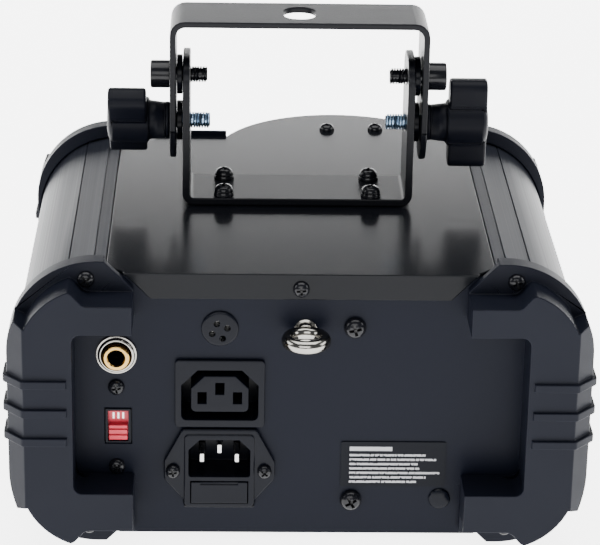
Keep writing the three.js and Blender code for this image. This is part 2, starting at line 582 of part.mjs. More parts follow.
// Safety eye: a level ring on a threaded shank.
const eyeWire = 2.4;
const eyeRadius = 7.35;
const ringY = rearY - 10.5;
place('safety_eye', union(
  new THREE.TorusGeometry(eyeRadius, eyeWire, 8, 24).translate(eye.x, ringY, eye.z),
  turned('y', eye.x, eye.z, [[0, ringY + eyeRadius], [3.6, ringY + eyeRadius], [3.6, outsideY],
    [3, outsideY], [3, rearY + 12], [0, rearY + 12]], 16)), nickel);
place('safety_eye_nut', cut(alongY(circle(eye.x, eye.z, 5.6, 6), rearY + panel + gap, rearY + 7),
  rodY(eye.x, eye.z, 3.3, rearY, rearY + 9, 12)), galvanised);

place('label_plate', alongY(rectangle(17, 59, 23.2, 42.7, 0.8), outsideY - 0.3, outsideY), gloss);
place('hole_plug', turned('y', plug.x, plug.z, [[0, rearY - 1.6], [3, rearY - 1.6], [4.4, rearY - 0.9],
  [4.4, outsideY], [3.1, outsideY], [3.1, rearY + 4], [0, rearY + 4]], 16), gloss);
for (const { name, x, z } of panelScrews) {
  place(name, turned('y', x, z, [[0, outsideY - 2.6], [2.6, outsideY - 2.5], [4, outsideY - 1.5],
    [4.5, outsideY], [2, outsideY], [2, rearY + 6.5], [0, rearY + 6.5]], 16), blackSteel);
}

// ---------------------------------------------------------------- inside: electronics
const bracketX = 27;
place('electronics_bracket', cut(
  alongZ(outline([[15, rearY + panel + gap], [bracketX + 1.5, rearY + panel + gap],
    [bracketX + 1.5, rearY + 60], [bracketX, rearY + 60], [bracketX, rearY + panel + gap + 1.5],
    [15, rearY + panel + gap + 1.5]]), 10, 99),
  ...panelScrews.map(({ x, z }) => rodY(x, z, 2.3, rearY, rearY + 8, 12))), galvanised);
const boardX = bracketX + 6;
const relay = box(boardX + 1, boardX + 17, rearY + 36, rearY + 62, 30, 46);
const capacitor = rodX(rearY + 26, 74, 8, boardX + 1, boardX + 26, 16);
const driverChip = box(boardX + 1, boardX + 6, rearY + 44, rearY + 60, 66, 84);
const standoffs = [18, 52].flatMap((y) => [24, 88].map(
  (z) => rodX(rearY + y, z, 3, bracketX + 1.5 + gap, boardX + 0.5, 10)));
place('control_board', union(box(boardX, boardX + 1.6, rearY + 8, rearY + 70, 18, 95),
  relay, capacitor, driverChip, ...standoffs), boardGreen);

// ---------------------------------------------------------------- inside: fluid path
const pump = { x: 0, z: 30, y0: rearY + 52, y1: rearY + 92 };
place('pump_body', cut(
  union(box(...around(pump.x, 16), pump.y0, pump.y1, 8, 48),
    rodY(pump.x, pump.z, 4, pump.y0 - 8, pump.y0 + 1, 12),
    rodY(pump.x, pump.z, 5, pump.y1 - 1, pump.y1 + 22, 12)),
  rodY(pump.x, pump.z, 5, pump.y0 + 4, pump.y1 - 4),
  rodY(pump.x, pump.z, 2, pump.y0 - 9, pump.y1 + 23, 10)), castAluminium);
const strokeHalf = 1.5;
place('pump_piston', rodY(pump.x, pump.z, 4.6, pump.y0 + 4 + strokeHalf + gap,
  pump.y1 - 4 - strokeHalf - gap, 16), tinned);

const heater = { x: nozzle.x, z: nozzle.z, y0: rearY + 92, y1: frontY - 12, half: 16 };
place('heater_block', cut(
  union(box(...around(heater.x, heater.half), heater.y0, heater.y1, heater.z - heater.half,
    heater.z + heater.half), rodY(heater.x + 8, heater.z, 4, heater.y0 - 7, heater.y0 + 1, 12)),
  rodY(heater.x, heater.z, 3.25, heater.y0 + 6, heater.y1 + 1, 12),
  rodY(heater.x + 8, heater.z, 1.6, heater.y0 - 8, heater.y0 + 10, 8),
  box(heater.x, heater.x + 8, heater.y0 + 6.5, heater.y0 + 9.5, heater.z - 1.5, heater.z + 1.5),
), castAluminium);
place('heater_blanket', cut(
  box(...around(heater.x, heater.half + 5), heater.y0 + 2, heater.y1 - 2, heater.z - heater.half - 5,
    heater.z + heater.half + 5),
  box(...around(heater.x, heater.half + gap), heater.y0, heater.y1, heater.z - heater.half - gap,
    heater.z + heater.half + gap)), blanket);
place('thermostat', turned('y', heater.x - 8, heater.z, [[0, heater.y0 - 9], [5, heater.y0 - 9],
  [5, heater.y0 - 4], [7.5, heater.y0 - 4], [7.5, heater.y0 - gap], [0, heater.y0 - gap]], 16), gloss);
const cradleTop = heater.z - heater.half - 5 - gap;
const cradleFoot = shellBottom + sheet + gap;
place('heater_cradle', alongY(outline([[heater.x - 19.5, cradleFoot], [heater.x - 14, cradleFoot],
  [heater.x - 14, cradleTop - 1.5], [heater.x + 14, cradleTop - 1.5], [heater.x + 14, cradleFoot],
  [heater.x + 19.5, cradleFoot], [heater.x + 19.5, cradleFoot + 1.5], [heater.x + 15.5, cradleFoot + 1.5],
  [heater.x + 15.5, cradleTop], [heater.x - 15.5, cradleTop], [heater.x - 15.5, cradleFoot + 1.5],
  [heater.x - 19.5, cradleFoot + 1.5]]), heater.y0 + 8, heater.y1 - 10), galvanised);

place('fog_nozzle', turned('y', nozzle.x, nozzle.z, [[3.25, heater.y1 + gap], [7.2, heater.y1 + gap],
  [7.2, frontY + gap], [13, frontY + gap], [13, frontY + 2.6], [8.2, frontY + 3.6], [7.2, frontY + 9],
  [3.25, frontY + 9], [3.25, heater.y1 + gap]], 24), brass);

// Silicone hose from the pump round to the heater inlet.
const hosePath = new THREE.CatmullRomCurve3([
  new THREE.Vector3(pump.x, pump.y0 - 8.4, pump.z),
  new THREE.Vector3(pump.x, pump.y0 - 11, pump.z),
  new THREE.Vector3(pump.x - 5, pump.y0 - 15, pump.z + 7),
  new THREE.Vector3(pump.x - 18, pump.y0 - 14, pump.z + 20),
  new THREE.Vector3(pump.x - 32, pump.y0 - 2, heater.z - 2),
  new THREE.Vector3(heater.x + 8, heater.y0 - 20, heater.z),
  new THREE.Vector3(heater.x + 8, heater.y0 - 12, heater.z),
  new THREE.Vector3(heater.x + 8, heater.y0 - 7.3, heater.z)]);
place('pressure_hose', new THREE.ExtrudeGeometry(circle(0, 0, 3, 10),
  { steps: 18, extrudePath: hosePath, bevelEnabled: false }), silicone);

// Fluid tank: a blow-moulded box with a round front that pulls out of the front panel.
function tankOutline(inset) {
  const radius = tank.radius - inset;
  const left = Math.acos((tank.x0 + inset - tongueCentreX) / radius);
  const right = Math.acos((tank.x1 - inset - tongueCentreX) / radius);
  const points = [new THREE.Vector2(tank.x0 + inset, tank.back + inset),
    new THREE.Vector2(tank.x1 - inset, tank.back + inset)];
  const steps = 18;
  for (let k = 0; k <= steps; k += 1) {
    const angle = right + ((left - right) * k) / steps;
    points.push(new THREE.Vector2(tongueCentreX + radius * Math.cos(angle),
      tongueCentreY + radius * Math.sin(angle)));
  }
  return new THREE.Shape(points);
}
const neck = { x: tongueCentreX, y: frontY + 10, radius: 11 };
const fluidWall = 2;
place('fluid_tank', cut(
  union(alongZ(tankOutline(0), tank.z0, tank.z1),
    rodZ(neck.x, neck.y, neck.radius, tank.z1 - 1, tank.z1 + 9, 24)),
  alongZ(tankOutline(fluidWall), tank.z0 + fluidWall, tank.z1 - fluidWall),
  rodZ(neck.x, neck.y, neck.radius - 1.8, tank.z1 - 4, tank.z1 + 10, 24),
  rodY(pump.x, pump.z, 2, tank.back - 1, tank.back + 4, 10)), tankPlastic);
place('tank_cap', cut(rodZ(neck.x, neck.y, neck.radius + 3, tank.z1 + 1, tank.z1 + 12.5, 24),
  rodZ(neck.x, neck.y, neck.radius + gap, tank.z1, tank.z1 + 9.6, 24)), blackPlastic);
const trayTop = tank.z0 - gap;
place('tank_tray', box(tank.x0, tank.x1, tank.back + 4, frontY - panel - gap,
  shellBottom + sheet + gap, trayTop), galvanised);

export default machine;
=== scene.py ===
"""Looks for a compact fog machine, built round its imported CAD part.

The shell, brackets and hidden parts are refined copies of their CAD nodes. The mouldings, knobs,
threads, sockets and screws are rebuilt finer. Shapes are drawn in millimetres in the CAD frame
and become metres as they are placed.
"""

import logging
import math
from collections.abc import Callable, Sequence
from dataclasses import dataclass, field
from enum import Enum

import bmesh
import bpy
from mathutils import Matrix, Vector


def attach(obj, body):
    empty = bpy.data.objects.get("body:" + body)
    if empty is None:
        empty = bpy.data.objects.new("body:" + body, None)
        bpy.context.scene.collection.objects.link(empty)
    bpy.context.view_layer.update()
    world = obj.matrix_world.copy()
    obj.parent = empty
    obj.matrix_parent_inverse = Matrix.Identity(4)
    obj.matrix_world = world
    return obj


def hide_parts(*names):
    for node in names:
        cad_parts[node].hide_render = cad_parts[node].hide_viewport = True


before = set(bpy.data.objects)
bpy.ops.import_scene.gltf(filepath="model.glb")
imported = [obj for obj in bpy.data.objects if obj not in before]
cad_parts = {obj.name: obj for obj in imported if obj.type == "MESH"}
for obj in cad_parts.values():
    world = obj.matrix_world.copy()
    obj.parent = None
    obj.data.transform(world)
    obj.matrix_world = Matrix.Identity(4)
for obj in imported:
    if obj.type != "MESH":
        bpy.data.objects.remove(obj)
log = logging.getLogger("fog_machine")

MM = 0.001
FULL_TURN = 2 * math.pi
SMOOTH_ANGLE = math.radians(32)
Corner = tuple[float, ...]
Colour = tuple[float, float, float]


class Axis(Enum):
    """The direction an outline is pushed along: which of (a, b, height) becomes x, y and z."""

    X = (2, 0, 1)
    Y = (0, 2, 1)
    Z = (0, 1, 2)


class Cut(Enum):
    """The ways in which one solid is combined with others."""

    AWAY = "DIFFERENCE"
    JOIN = "UNION"
    SHARED = "INTERSECT"


@dataclass(frozen=True)
class Machine:
    """The driving sizes that the pieces share, in millimetres."""

    height: float = 120.0
    half_width: float = 114.2
    rear: float = -89.25
    front: float = 78.75
    strap: float = 1.75
    pivot: float = 146.9
    bolt: float = 166.7
    gap: float = 0.3
    cover: float = 114.5
    arm_face: float = 53.2


M = Machine()
OUTSIDE = M.rear - M.gap


# ---------------------------------------------------------------- shader graphs
def operator(operation: str, swapped: bool = False) -> Callable[["Value", object], "Value"]:
    """Makes an arithmetic operator for shader values.

    Args:
        operation: The maths node's operation.
        swapped: True where the value stands on the right of the sign.

    Returns:
        The operator.
    """
    def apply(value: "Value", other: object) -> "Value":
        """Adds the node. Args: value, other: the operands. Returns: the result."""
        return value.maths(operation, other, value) if swapped else value.maths(operation, value, other)
    return apply


class Value:
    """A shader output that builds maths nodes when it is used in a sum."""

    __add__, __radd__ = operator("ADD"), operator("ADD", swapped=True)
    __sub__, __rsub__ = operator("SUBTRACT"), operator("SUBTRACT", swapped=True)
    __mul__, __rmul__ = operator("MULTIPLY"), operator("MULTIPLY", swapped=True)
    __truediv__, __rtruediv__ = operator("DIVIDE"), operator("DIVIDE", swapped=True)

    def __init__(self, graph: "Graph", socket: bpy.types.NodeSocket) -> None:
        """Wraps one output socket.

        Args:
            graph: The graph that new nodes are added to.
            socket: The output socket that holds the value.
        """
        self.graph = graph
        self.socket = socket

    def maths(self, operation: str, first: object, second: object = None) -> "Value":
        """Adds one maths node.

        Args:
            operation: The node's operation.
            first: The first operand, a value or a number.
            second: The second operand, if the operation takes one.

        Returns:
            The node's result.
        """
        values = {0: first} if second is None else {0: first, 1: second}
        return self.graph.node("ShaderNodeMath", {"operation": operation}, values)

    def over(self, limit: object) -> "Value":
        """Compares. Args: limit: value or number. Returns: 1 where this is greater, else 0."""
        return self.maths("GREATER_THAN", self, limit)

    def under(self, limit: object) -> "Value":
        """Compares. Args: limit: value or number. Returns: 1 where this is less, else 0."""
        return self.maths("LESS_THAN", self, limit)

    def sine(self) -> "Value":
        """Takes the sine. Returns: the sine, from -1 to 1."""
        return self.maths("SINE", self)

    def floor(self) -> "Value":
        """Rounds down. Returns: the whole part."""
        return self.maths("FLOOR", self)

    def fraction(self) -> "Value":
        """Takes the part after the point. Returns: the fraction."""
        return self.maths("FRACT", self)

    def distance(self) -> "Value":
        """Drops the sign. Returns: the size of this value."""
        return self.maths("ABSOLUTE", self)


class Graph:
    """A material's node tree, with one way of adding a node."""

    def __init__(self, name: str) -> None:
        """Starts a material with only its surface shader. Args: name: the material's name."""
        self.material = bpy.data.materials.new(name)
        self.material.use_nodes = True
        self.tree = self.material.node_tree
        self.surface = self.tree.nodes["Principled BSDF"]

    def node(self, kind: str, settings: dict | None = None, inputs: dict | None = None,
             output: int | str = 0) -> Value:
        """Adds a node.

        Args:
            kind: The node's type.
            settings: Its own properties.
            inputs: Its input sockets, as values to link or constants to set.
            output: Which output to hand back.

        Returns:
            That output.
        """
        made = self.tree.nodes.new(kind)
        for key, setting in (settings or {}).items():
            setattr(made, key, setting)
        for key, value in (inputs or {}).items():
            self.feed(made.inputs[key], value)
        return Value(self, made.outputs[output])

    def feed(self, socket: bpy.types.NodeSocket, value: object) -> None:
        """Links a value to a socket, or sets it where the value is a constant.

        Args:
            socket: The input socket.
            value: A Value or a constant.
        """
        if isinstance(value, Value):
            self.tree.links.new(value.socket, socket)
        elif socket.type == "RGBA":
            socket.default_value = (*value, 1.0)
        else:
            socket.default_value = value

    def set(self, **inputs: object) -> None:
        """Feeds the surface shader. Args: inputs: its inputs by name, with underscores for spaces."""
        for key, value in inputs.items():
            self.feed(self.surface.inputs[key.replace("_", " ")], value)

    def place(self, axis: str) -> Value:
        """Reads one object coordinate.

        Args:
            axis: "X", "Y" or "Z".

        Returns:
            The coordinate in metres.
        """
        where = self.node("ShaderNodeTexCoord", output="Object")
        return self.node("ShaderNodeSeparateXYZ", inputs={"Vector": where}, output=axis)

    def stretched(self, scale: Colour) -> Value:
        """Scales the object coordinates.

        Args:
            scale: The factor along each axis.

        Returns:
            The scaled place.
        """
        where = self.node("ShaderNodeTexCoord", output="Object")
        return self.node("ShaderNodeMapping", inputs={"Vector": where, "Scale": scale})

    def noise(self, scale: float, detail: float = 2.0, where: Value | None = None) -> Value:
        """Adds a noise pattern.

        Args:
            scale: Its frequency per metre.
            detail: Its octaves.
            where: The place it is read at, or the plain object coordinates.

        Returns:
            The pattern, around 0.5.
        """
        at = where or self.node("ShaderNodeTexCoord", output="Object")
        return self.node("ShaderNodeTexNoise", inputs={"Vector": at, "Scale": scale, "Detail": detail})

    def relief(self, height: Value, distance: float, strength: float = 1.0) -> None:
        """Bumps the surface.

        Args:
            height: The height pattern.
            distance: The height of 1, in metres.
            strength: How much of it shows.
        """
        self.set(Normal=self.node("ShaderNodeBump", inputs={
            "Height": height, "Distance": distance, "Strength": strength}))

    def blend(self, share: Value, low: object, high: object) -> Value:
        """Mixes two colours.

        Args:
            share: 0 for the low colour and 1 for the high one.
            low: The first colour.
            high: The second colour.

        Returns:
            The mixed colour.
        """
        mix = self.tree.nodes.new("ShaderNodeMix")
        mix.data_type = "RGBA"
        for key, value in {"Factor_Float": share, "A_Color": low, "B_Color": high}.items():
            self.feed(next(s for s in mix.inputs if s.identifier == key), value)
        return Value(self, next(s for s in mix.outputs if s.identifier == "Result_Color"))

    def window(self, value: Value, centre: float, half: float) -> Value:
        """Masks a band.

        Args:
            value: The value to test.
            centre: The band's middle.
            half: Half its width.

        Returns:
            1 inside the band and 0 outside.
        """
        return (value - centre).distance().under(half)


# ---------------------------------------------------------------- finishes
def tinted(colour: Colour, factor: float) -> Colour:
    """Brightens or darkens. Args: colour, factor: what and by how much. Returns: the new colour."""
    return tuple(factor * channel for channel in colour)


@dataclass(frozen=True)
class Finish:
    """A plain surface; the classes below add what each real one shows."""

    slot: str
    colour: Colour
    roughness: float = 0.5
    metallic: float = 0.0
    shine: float = 0.5

    def material(self) -> bpy.types.Material:
        """Makes the material, once. Returns: the material."""
        name = f"{self.slot}_look"
        known = bpy.data.materials.get(name)
        if known:
            return known
        graph = Graph(name)
        graph.set(Base_Color=self.colour, Roughness=self.roughness, Metallic=self.metallic,
                  Specular_IOR_Level=self.shine)
        self.detail(graph)
        return graph.material

    def detail(self, graph: Graph) -> None:
        """Adds slight unevenness, which every surface has. Args: graph: the material's graph."""
        graph.set(Roughness=self.roughness * (0.85 + 0.3 * graph.noise(60.0)))


@dataclass(frozen=True)
class Moulded(Finish):
    """Injection moulded plastic with a fine grain."""

    grain: float = 2600.0
    height: float = 0.00003

    def detail(self, graph: Graph) -> None:
        """Adds the grain and a soft change of tone. Args: graph: the material's graph."""
        tone = graph.noise(25.0, 3.0)
        graph.set(Base_Color=graph.blend(tone, tinted(self.colour, 0.82), tinted(self.colour, 1.15)))
        graph.set(Roughness=self.roughness * (0.9 + 0.25 * graph.noise(140.0)))
        graph.relief(graph.noise(self.grain, 1.0), self.height, 0.35)


@dataclass(frozen=True)
class Painted(Finish):
    """Powder coat: orange peel and fine pale specks over a dark base."""

    peel: float = 900.0
    height: float = 0.00004
    specks: float = 0.5

    def detail(self, graph: Graph) -> None:
        """Adds the peel and the specks. Args: graph: the material's graph."""
        grains = graph.noise(self.peel * 3.0, 2.0)
        fleck = grains.over(0.66) * self.specks
        pale = tuple(min(1.0, 4 * c + 0.02) for c in self.colour)
        graph.set(Base_Color=graph.blend(fleck, self.colour, pale),
                  Roughness=self.roughness * (0.85 + 0.3 * grains))
        graph.relief(graph.noise(self.peel, 2.0) + 0.4 * grains, self.height, 0.6)


@dataclass(frozen=True)
class Anodised(Finish):
    """Extruded metal with faint die lines along its length."""

    lines: float = 1500.0

    def detail(self, graph: Graph) -> None:
        """Adds the die lines. Args: graph: the material's graph."""
        streaks = graph.noise(1.0, 3.0, graph.stretched((self.lines, 2.0, self.lines)))
        graph.set(Roughness=self.roughness * (0.75 + 0.5 * streaks))
        graph.relief(streaks, 0.00001, 0.2)


@dataclass(frozen=True)
class Plated(Finish):
    """Bright plating with handling marks."""

    marks: float = 400.0
    dents: float = 0.00002

    def detail(self, graph: Graph) -> None:
        """Adds marks and dull patches. Args: graph: the material's graph."""
        marks = graph.noise(self.marks, 4.0)
        graph.set(Base_Color=graph.blend(graph.noise(120.0), tinted(self.colour, 0.75), self.colour),
                  Roughness=self.roughness * (0.6 + 0.8 * marks))
        graph.relief(marks, self.dents, 0.25)


@dataclass(frozen=True)
class Threaded(Plated):
    """Plating on the studs' threads, with painted shade darkening the roots."""

    root: float = 0.0027
    axis_y: float = MM * M.strap
    axis_z: float = MM * M.pivot

    def detail(self, graph: Graph) -> None:
        """Adds painted shade in the thread roots to the plating. Args: graph: the material's graph."""
        super().detail(graph)
        y, z = graph.place("Y") - self.axis_y, graph.place("Z") - self.axis_z
        # Painted shade: inside the root radius the plating colour is darkened to 0.12 of itself.
        root_shade = (y * y + z * z).under(self.root ** 2)
        graph.set(Base_Color=graph.blend(root_shade, self.colour, tinted(self.colour, 0.12)))


@dataclass(frozen=True)
class Cloudy(Finish):
    """Blow moulded plastic that lets some light through."""

    see_through: float = 0.35

    def detail(self, graph: Graph) -> None:
        """Adds the translucence and a wavy surface. Args: graph: the material's graph."""
        graph.set(Transmission_Weight=self.see_through, IOR=1.5,
                  Roughness=self.roughness * (0.8 + 0.4 * graph.noise(80.0)))
        graph.relief(graph.noise(70.0), 0.0003, 0.3)


@dataclass(frozen=True)
class Woven(Finish):
    """Glass fibre cloth."""

    threads: float = 900.0

    def detail(self, graph: Graph) -> None:
        """Adds the crossing threads. Args: graph: the material's graph."""
        along = 0.5 + 0.5 * (graph.place("Y") * (FULL_TURN * self.threads)).sine()
        across = 0.5 + 0.5 * (graph.place("Z") * (FULL_TURN * self.threads)).sine()
        graph.set(Base_Color=graph.blend(along * across, tinted(self.colour, 0.7), self.colour))
        graph.relief(along + across, 0.0002, 0.5)


@dataclass(frozen=True)
class Printed(Finish):
    """Dark film with rows of pale bars standing for small print, and no lettering."""

    left: float = 0.0205
    top: float = 0.0379
    row: float = 0.00195
    bar: Colour = (0.3, 0.3, 0.31)

    def detail(self, graph: Graph) -> None:
        """Adds a heading bar and seven rows of bars, each row of its own length.

        Args:
            graph: The material's graph.
        """
        x, z = graph.place("X"), graph.place("Z")
        rows = (self.top - z) / self.row
        inside = rows.over(0.0) * rows.under(7.0) * x.over(self.left)
        thick = graph.window(rows.fraction(), 0.5, 0.24)
        ragged = graph.node("ShaderNodeTexWhiteNoise", {"noise_dimensions": "1D"}, {"W": rows.floor()})
        ends = x.under(0.0567 - 0.01 * ragged)
        words = graph.noise(1.0, 1.0, graph.stretched((1100.0, 0.0, 513.0))).over(0.4)
        heading = graph.window(z, 0.0397, 0.0009) * graph.window(x, 0.029, 0.0085)
        mask = inside * thick * ends * words + heading
        graph.set(Base_Color=graph.blend(mask, self.colour, self.bar))


@dataclass(frozen=True)
class Board(Finish):
    """A circuit board with copper tracks under its green mask."""

    def detail(self, graph: Graph) -> None:
        """Adds the tracks. Args: graph: the material's graph."""
        tracks = graph.window((graph.place("Z") * 400.0).fraction(), 0.5, 0.12)
        patches = graph.noise(90.0).over(0.5)
        graph.set(Base_Color=graph.blend(tracks * patches, self.colour, (0.12, 0.32, 0.16)))


FINISHES = [
    Moulded("bumper_plastic", (0.0038, 0.0046, 0.0084), 0.42, shine=0.07),
    Moulded("knob_plastic", (0.0025, 0.0029, 0.0052), 0.42, shine=0.07, grain=3200.0),
    Painted("cover_paint", (0.0022, 0.0026, 0.0038), 0.2, shine=0.09, specks=0.3, height=0.00002),
    Painted("panel_paint", (0.0027, 0.0035, 0.0072), 0.38, shine=0.06, specks=0.2),
    Painted("bracket_paint", (0.0024, 0.0027, 0.0042), 0.34, shine=0.1, specks=0.4, height=0.00005),
    Anodised("anodised_shell", (0.0095, 0.0105, 0.0145), 0.4, 0.0, shine=0.08),
    Plated("black_steel", (0.004, 0.0043, 0.006), 0.2, 0.0, shine=0.2),
    Threaded("zinc_blue", (0.30, 0.44, 0.62), 0.3, 1.0, marks=60.0, dents=0.000004),
    Plated("nickel", (0.27, 0.26, 0.24), 0.16, 1.0, marks=900.0, dents=0.00009),
    Plated("brass", (0.42, 0.26, 0.08), 0.2, 1.0),
    Moulded("gloss_black_plastic", (0.0018, 0.0023, 0.0046), 0.24, shine=0.08, height=0.000008),
    Moulded("red_plastic", (0.42, 0.016, 0.035), 0.35, shine=0.3),
    Plated("contact_metal", (0.5, 0.5, 0.49), 0.25, 1.0),
    Finish("fuse_glass", (0.75, 0.78, 0.78), 0.08),
    Board("board_green", (0.02, 0.12, 0.05), 0.4),
    Plated("cast_aluminium", (0.50, 0.51, 0.53), 0.5, 1.0, marks=700.0),
    Woven("blanket", (0.62, 0.58, 0.48), 0.95),
    Plated("galvanised", (0.42, 0.44, 0.46), 0.4, 1.0, marks=90.0),
    Finish("silicone", (0.55, 0.55, 0.50), 0.5),
    Cloudy("tank_plastic", (0.72, 0.76, 0.75), 0.35),
    Printed("label_film", (0.0032, 0.0038, 0.0058), 0.3, shine=0.05),
]
BY_SLOT = {finish.slot: finish for finish in FINISHES}


# ---------------------------------------------------------------- outlines
def outline(corners: Sequence[Corner], steps: int = 6) -> list[Vector]:
    """Turns corners into a closed outline with rounded ones as arcs.

    Args:
        corners: Each (a, b) or (a, b, radius).
        steps: Pieces per arc.

    Returns:
        The outline's points.
    """
    points = []
    places = [Vector(corner[:2]) for corner in corners]
    for i, corner in enumerate(corners):
        radius = corner[2] if len(corner) > 2 else 0
        if not radius:
            points.append(places[i])
            continue
        before = (places[i - 1] - places[i]).normalized()
        after = (places[(i + 1) % len(places)] - places[i]).normalized()
        half = before.angle(after) / 2
        centre = places[i] + (before + after).normalized() * radius / math.sin(half)
        start = places[i] + before * radius / math.tan(half) - centre
        sweep = math.copysign(math.pi - 2 * half, after.cross(before))
        points += [centre + Matrix.Rotation(sweep * k / steps, 2) @ start for k in range(steps + 1)]
    return points


def rectangle(a: Corner, b: Corner, radius: float = 0.0, steps: int = 5) -> list[Vector]:
    """Draws a rectangle.

    Args:
        a: Its span along the first axis.
        b: Its span along the second axis.
        radius: Corner radius.
        steps: Pieces per corner.

    Returns:
        The outline's points.
    """
    return outline([(a[0], b[0], radius), (a[1], b[0], radius), (a[1], b[1], radius),
                    (a[0], b[1], radius)], steps)


def circle(a: float, b: float, radius: float, steps: int = 40) -> list[Vector]:
    """Draws a circle.

    Args:
        a: Centre along the first axis.
        b: Centre along the second axis.
        radius: Its radius.
        steps: Its sides.

    Returns:
        The outline's points.
    """
    turns = [FULL_TURN * k / steps for k in range(steps)]
    return [Vector((a + radius * math.cos(t), b + radius * math.sin(t))) for t in turns]


def around(centre: float, half: float) -> Corner:
    """Spans a centre. Args: centre, half: the middle and half the length. Returns: (low, high)."""
    return (centre - half, centre + half)


def inset(points: Sequence[Vector], distance: float) -> list[Vector]:
    """Moves an outline inwards.

    Args:
        points: The outline.
        distance: How far it moves.

    Returns:
        The smaller outline.
    """
    count = len(points)
    area = sum(points[i - 1].cross(points[i]) for i in range(count))
    side = math.copysign(distance, area)
    moved = []
    for i in range(count):
        first = (points[i] - points[i - 1]).normalized()
        second = (points[(i + 1) % count] - points[i]).normalized()
        normals = Vector((-first.y, first.x)) + Vector((-second.y, second.x))
        moved.append(points[i] + side * normals / max(0.3, 1 + first.dot(second)))
    return moved


def linked(name: str, data: bpy.types.ID) -> bpy.types.Object:
    """Adds an object to the scene. Args: name, data: its name and data. Returns: the object."""
    made = bpy.data.objects.new(name, data)
    bpy.context.scene.collection.objects.link(made)
    return made


# ---------------------------------------------------------------- solids
class Solid:
    """A closed mesh in millimetres that can be combined, rounded and placed."""

    def __init__(self, bm: bmesh.types.BMesh) -> None:
        """Takes over a mesh. Args: bm: the mesh."""
        bmesh.ops.recalc_face_normals(bm, faces=bm.faces)
        self.bm = bm

    @classmethod
    def prism(cls, axis: Axis, points: Sequence[Vector], low: float, high: float,
              edge: float = 0.0, rings: int = 3) -> "Solid":
        """Pushes an outline along an axis.

        Args:
            axis: The direction.
            points: The outline, in the two other axes.
            low: Where it starts.
            high: Where it ends.
            edge: Radius of the rounded rims at both ends.
            rings: Steps of that rounding.

        Returns:
            The prism.
        """
        turns = [math.pi / 2 * k / rings for k in range(rings + 1)] if edge else [math.pi / 2]
        rise = [(edge * (1 - math.sin(t)), edge * (1 - math.cos(t))) for t in turns]
        levels = [(d, low + h) for d, h in rise] + [(d, high - h) for d, h in reversed(rise)]
        bm = bmesh.new()
        loops = []
        for distance, height in levels:
            loop = inset(points, distance) if distance > 1e-6 else points
            loops.append([bm.verts.new([(*p, height)[i] for i in axis.value]) for p in loop])
        cls._skin(bm, loops)
        bm.faces.new(loops[0])
        bm.faces.new(loops[-1])
        return cls(bm)

    @classmethod
    def turned(cls, axis: Axis, a: float, b: float, profile: Sequence[Corner],
               steps: int = 48, closed: bool = False) -> "Solid":
        """Turns a profile about an axis.

        Args:
            axis: The axis.
            a: Its place along the first other axis.
            b: Its place along the second other axis.
            profile: Points (radius, position along the axis), the ends on the axis.
            steps: Sides of the turned surface.
            closed: True where the profile is a loop off the axis.

        Returns:
            The turned solid.
        """
        bm = bmesh.new()
        loops = []
        for radius, along in profile:
            ring = circle(a, b, radius, steps) if radius > 1e-6 else [Vector((a, b))]
            loops.append([bm.verts.new([(*p, along)[i] for i in axis.value]) for p in ring])
        if closed:
            loops.append(loops[0])
        cls._skin(bm, loops)
        return cls(bm)

    @staticmethod
    def _skin(bm: bmesh.types.BMesh, loops: list[list[bmesh.types.BMVert]]) -> None:
        """Joins loops with faces.

        Args:
            bm: The mesh.
            loops: Rings of vertices; a ring of one vertex is a tip.
        """
        for low, high in zip(loops, loops[1:]):
            count = max(len(low), len(high))
            for k in range(count):
                ring = [low[k % len(low)], low[(k + 1) % len(low)],
                        high[(k + 1) % len(high)], high[k % len(high)]]
                bm.faces.new(list(dict.fromkeys(ring)))

    @classmethod
    def of_node(cls, name: str) -> "Solid":
        """Copies a CAD node with its triangles merged back into faces.

        Args:
            name: The node.

        Returns:
            The copy.
        """
        bm = bmesh.new()
        bm.from_mesh(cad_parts[name].data)
        bmesh.ops.scale(bm, vec=(1 / MM,) * 3, verts=bm.verts)
        bmesh.ops.remove_doubles(bm, verts=bm.verts, dist=0.002)
        bmesh.ops.dissolve_limit(bm, angle_limit=math.radians(0.5), verts=bm.verts, edges=bm.edges)
        return cls(bm)

    def _mesh(self, scale: float = 1.0) -> bpy.types.Mesh:
        """Writes the solid as mesh data.

        Args:
            scale: Factor on every coordinate.

        Returns:
            The mesh data.
        """
        mesh = bpy.data.meshes.new("solid")
        self.bm.to_mesh(mesh)
        mesh.transform(Matrix.Scale(scale, 4))
        return mesh

    def combined(self, way: Cut, *others: "Solid") -> "Solid":
        """Combines this solid with others.

        Args:
            way: What is kept.
            others: The other solids, one after another.

        Returns:
            The result.
        """
        objects = [linked("work", solid._mesh()) for solid in (self, *others)]
        for other in objects[1:]:
            step = objects[0].modifiers.new("combine", "BOOLEAN")
            step.operation, step.solver, step.object = way.value, "EXACT", other
        bm = bmesh.new()
        bm.from_mesh(settled(objects[0]))
        for work in objects:
            bpy.data.objects.remove(work)
        bmesh.ops.remove_doubles(bm, verts=bm.verts, dist=0.003)
        bmesh.ops.dissolve_limit(bm, angle_limit=math.radians(0.2), verts=bm.verts, edges=bm.edges)
        return Solid(bm)

    def moved(self, matrix: Matrix) -> "Solid":
        """Copies the solid to another place; a mirror matrix turns its faces back outwards.

        Args:
            matrix: The transform, in millimetres.

        Returns:
            The moved copy.
        """
        bm = self.bm.copy()
        bmesh.ops.transform(bm, matrix=matrix, verts=bm.verts)
        return Solid(bm)

    def mirrored(self, axis: int, at: float = 0.0) -> "Solid":
        """Copies the solid's mirror image.

        Args:
            axis: 0, 1 or 2.
            at: Where the mirror plane crosses that axis.

        Returns:
            The mirror image.
        """
        way = Vector((0, 0, 0))
        way[axis] = 1
        return self.moved(Matrix.Translation(2 * at * way) @ Matrix.Scale(-1, 4, way))

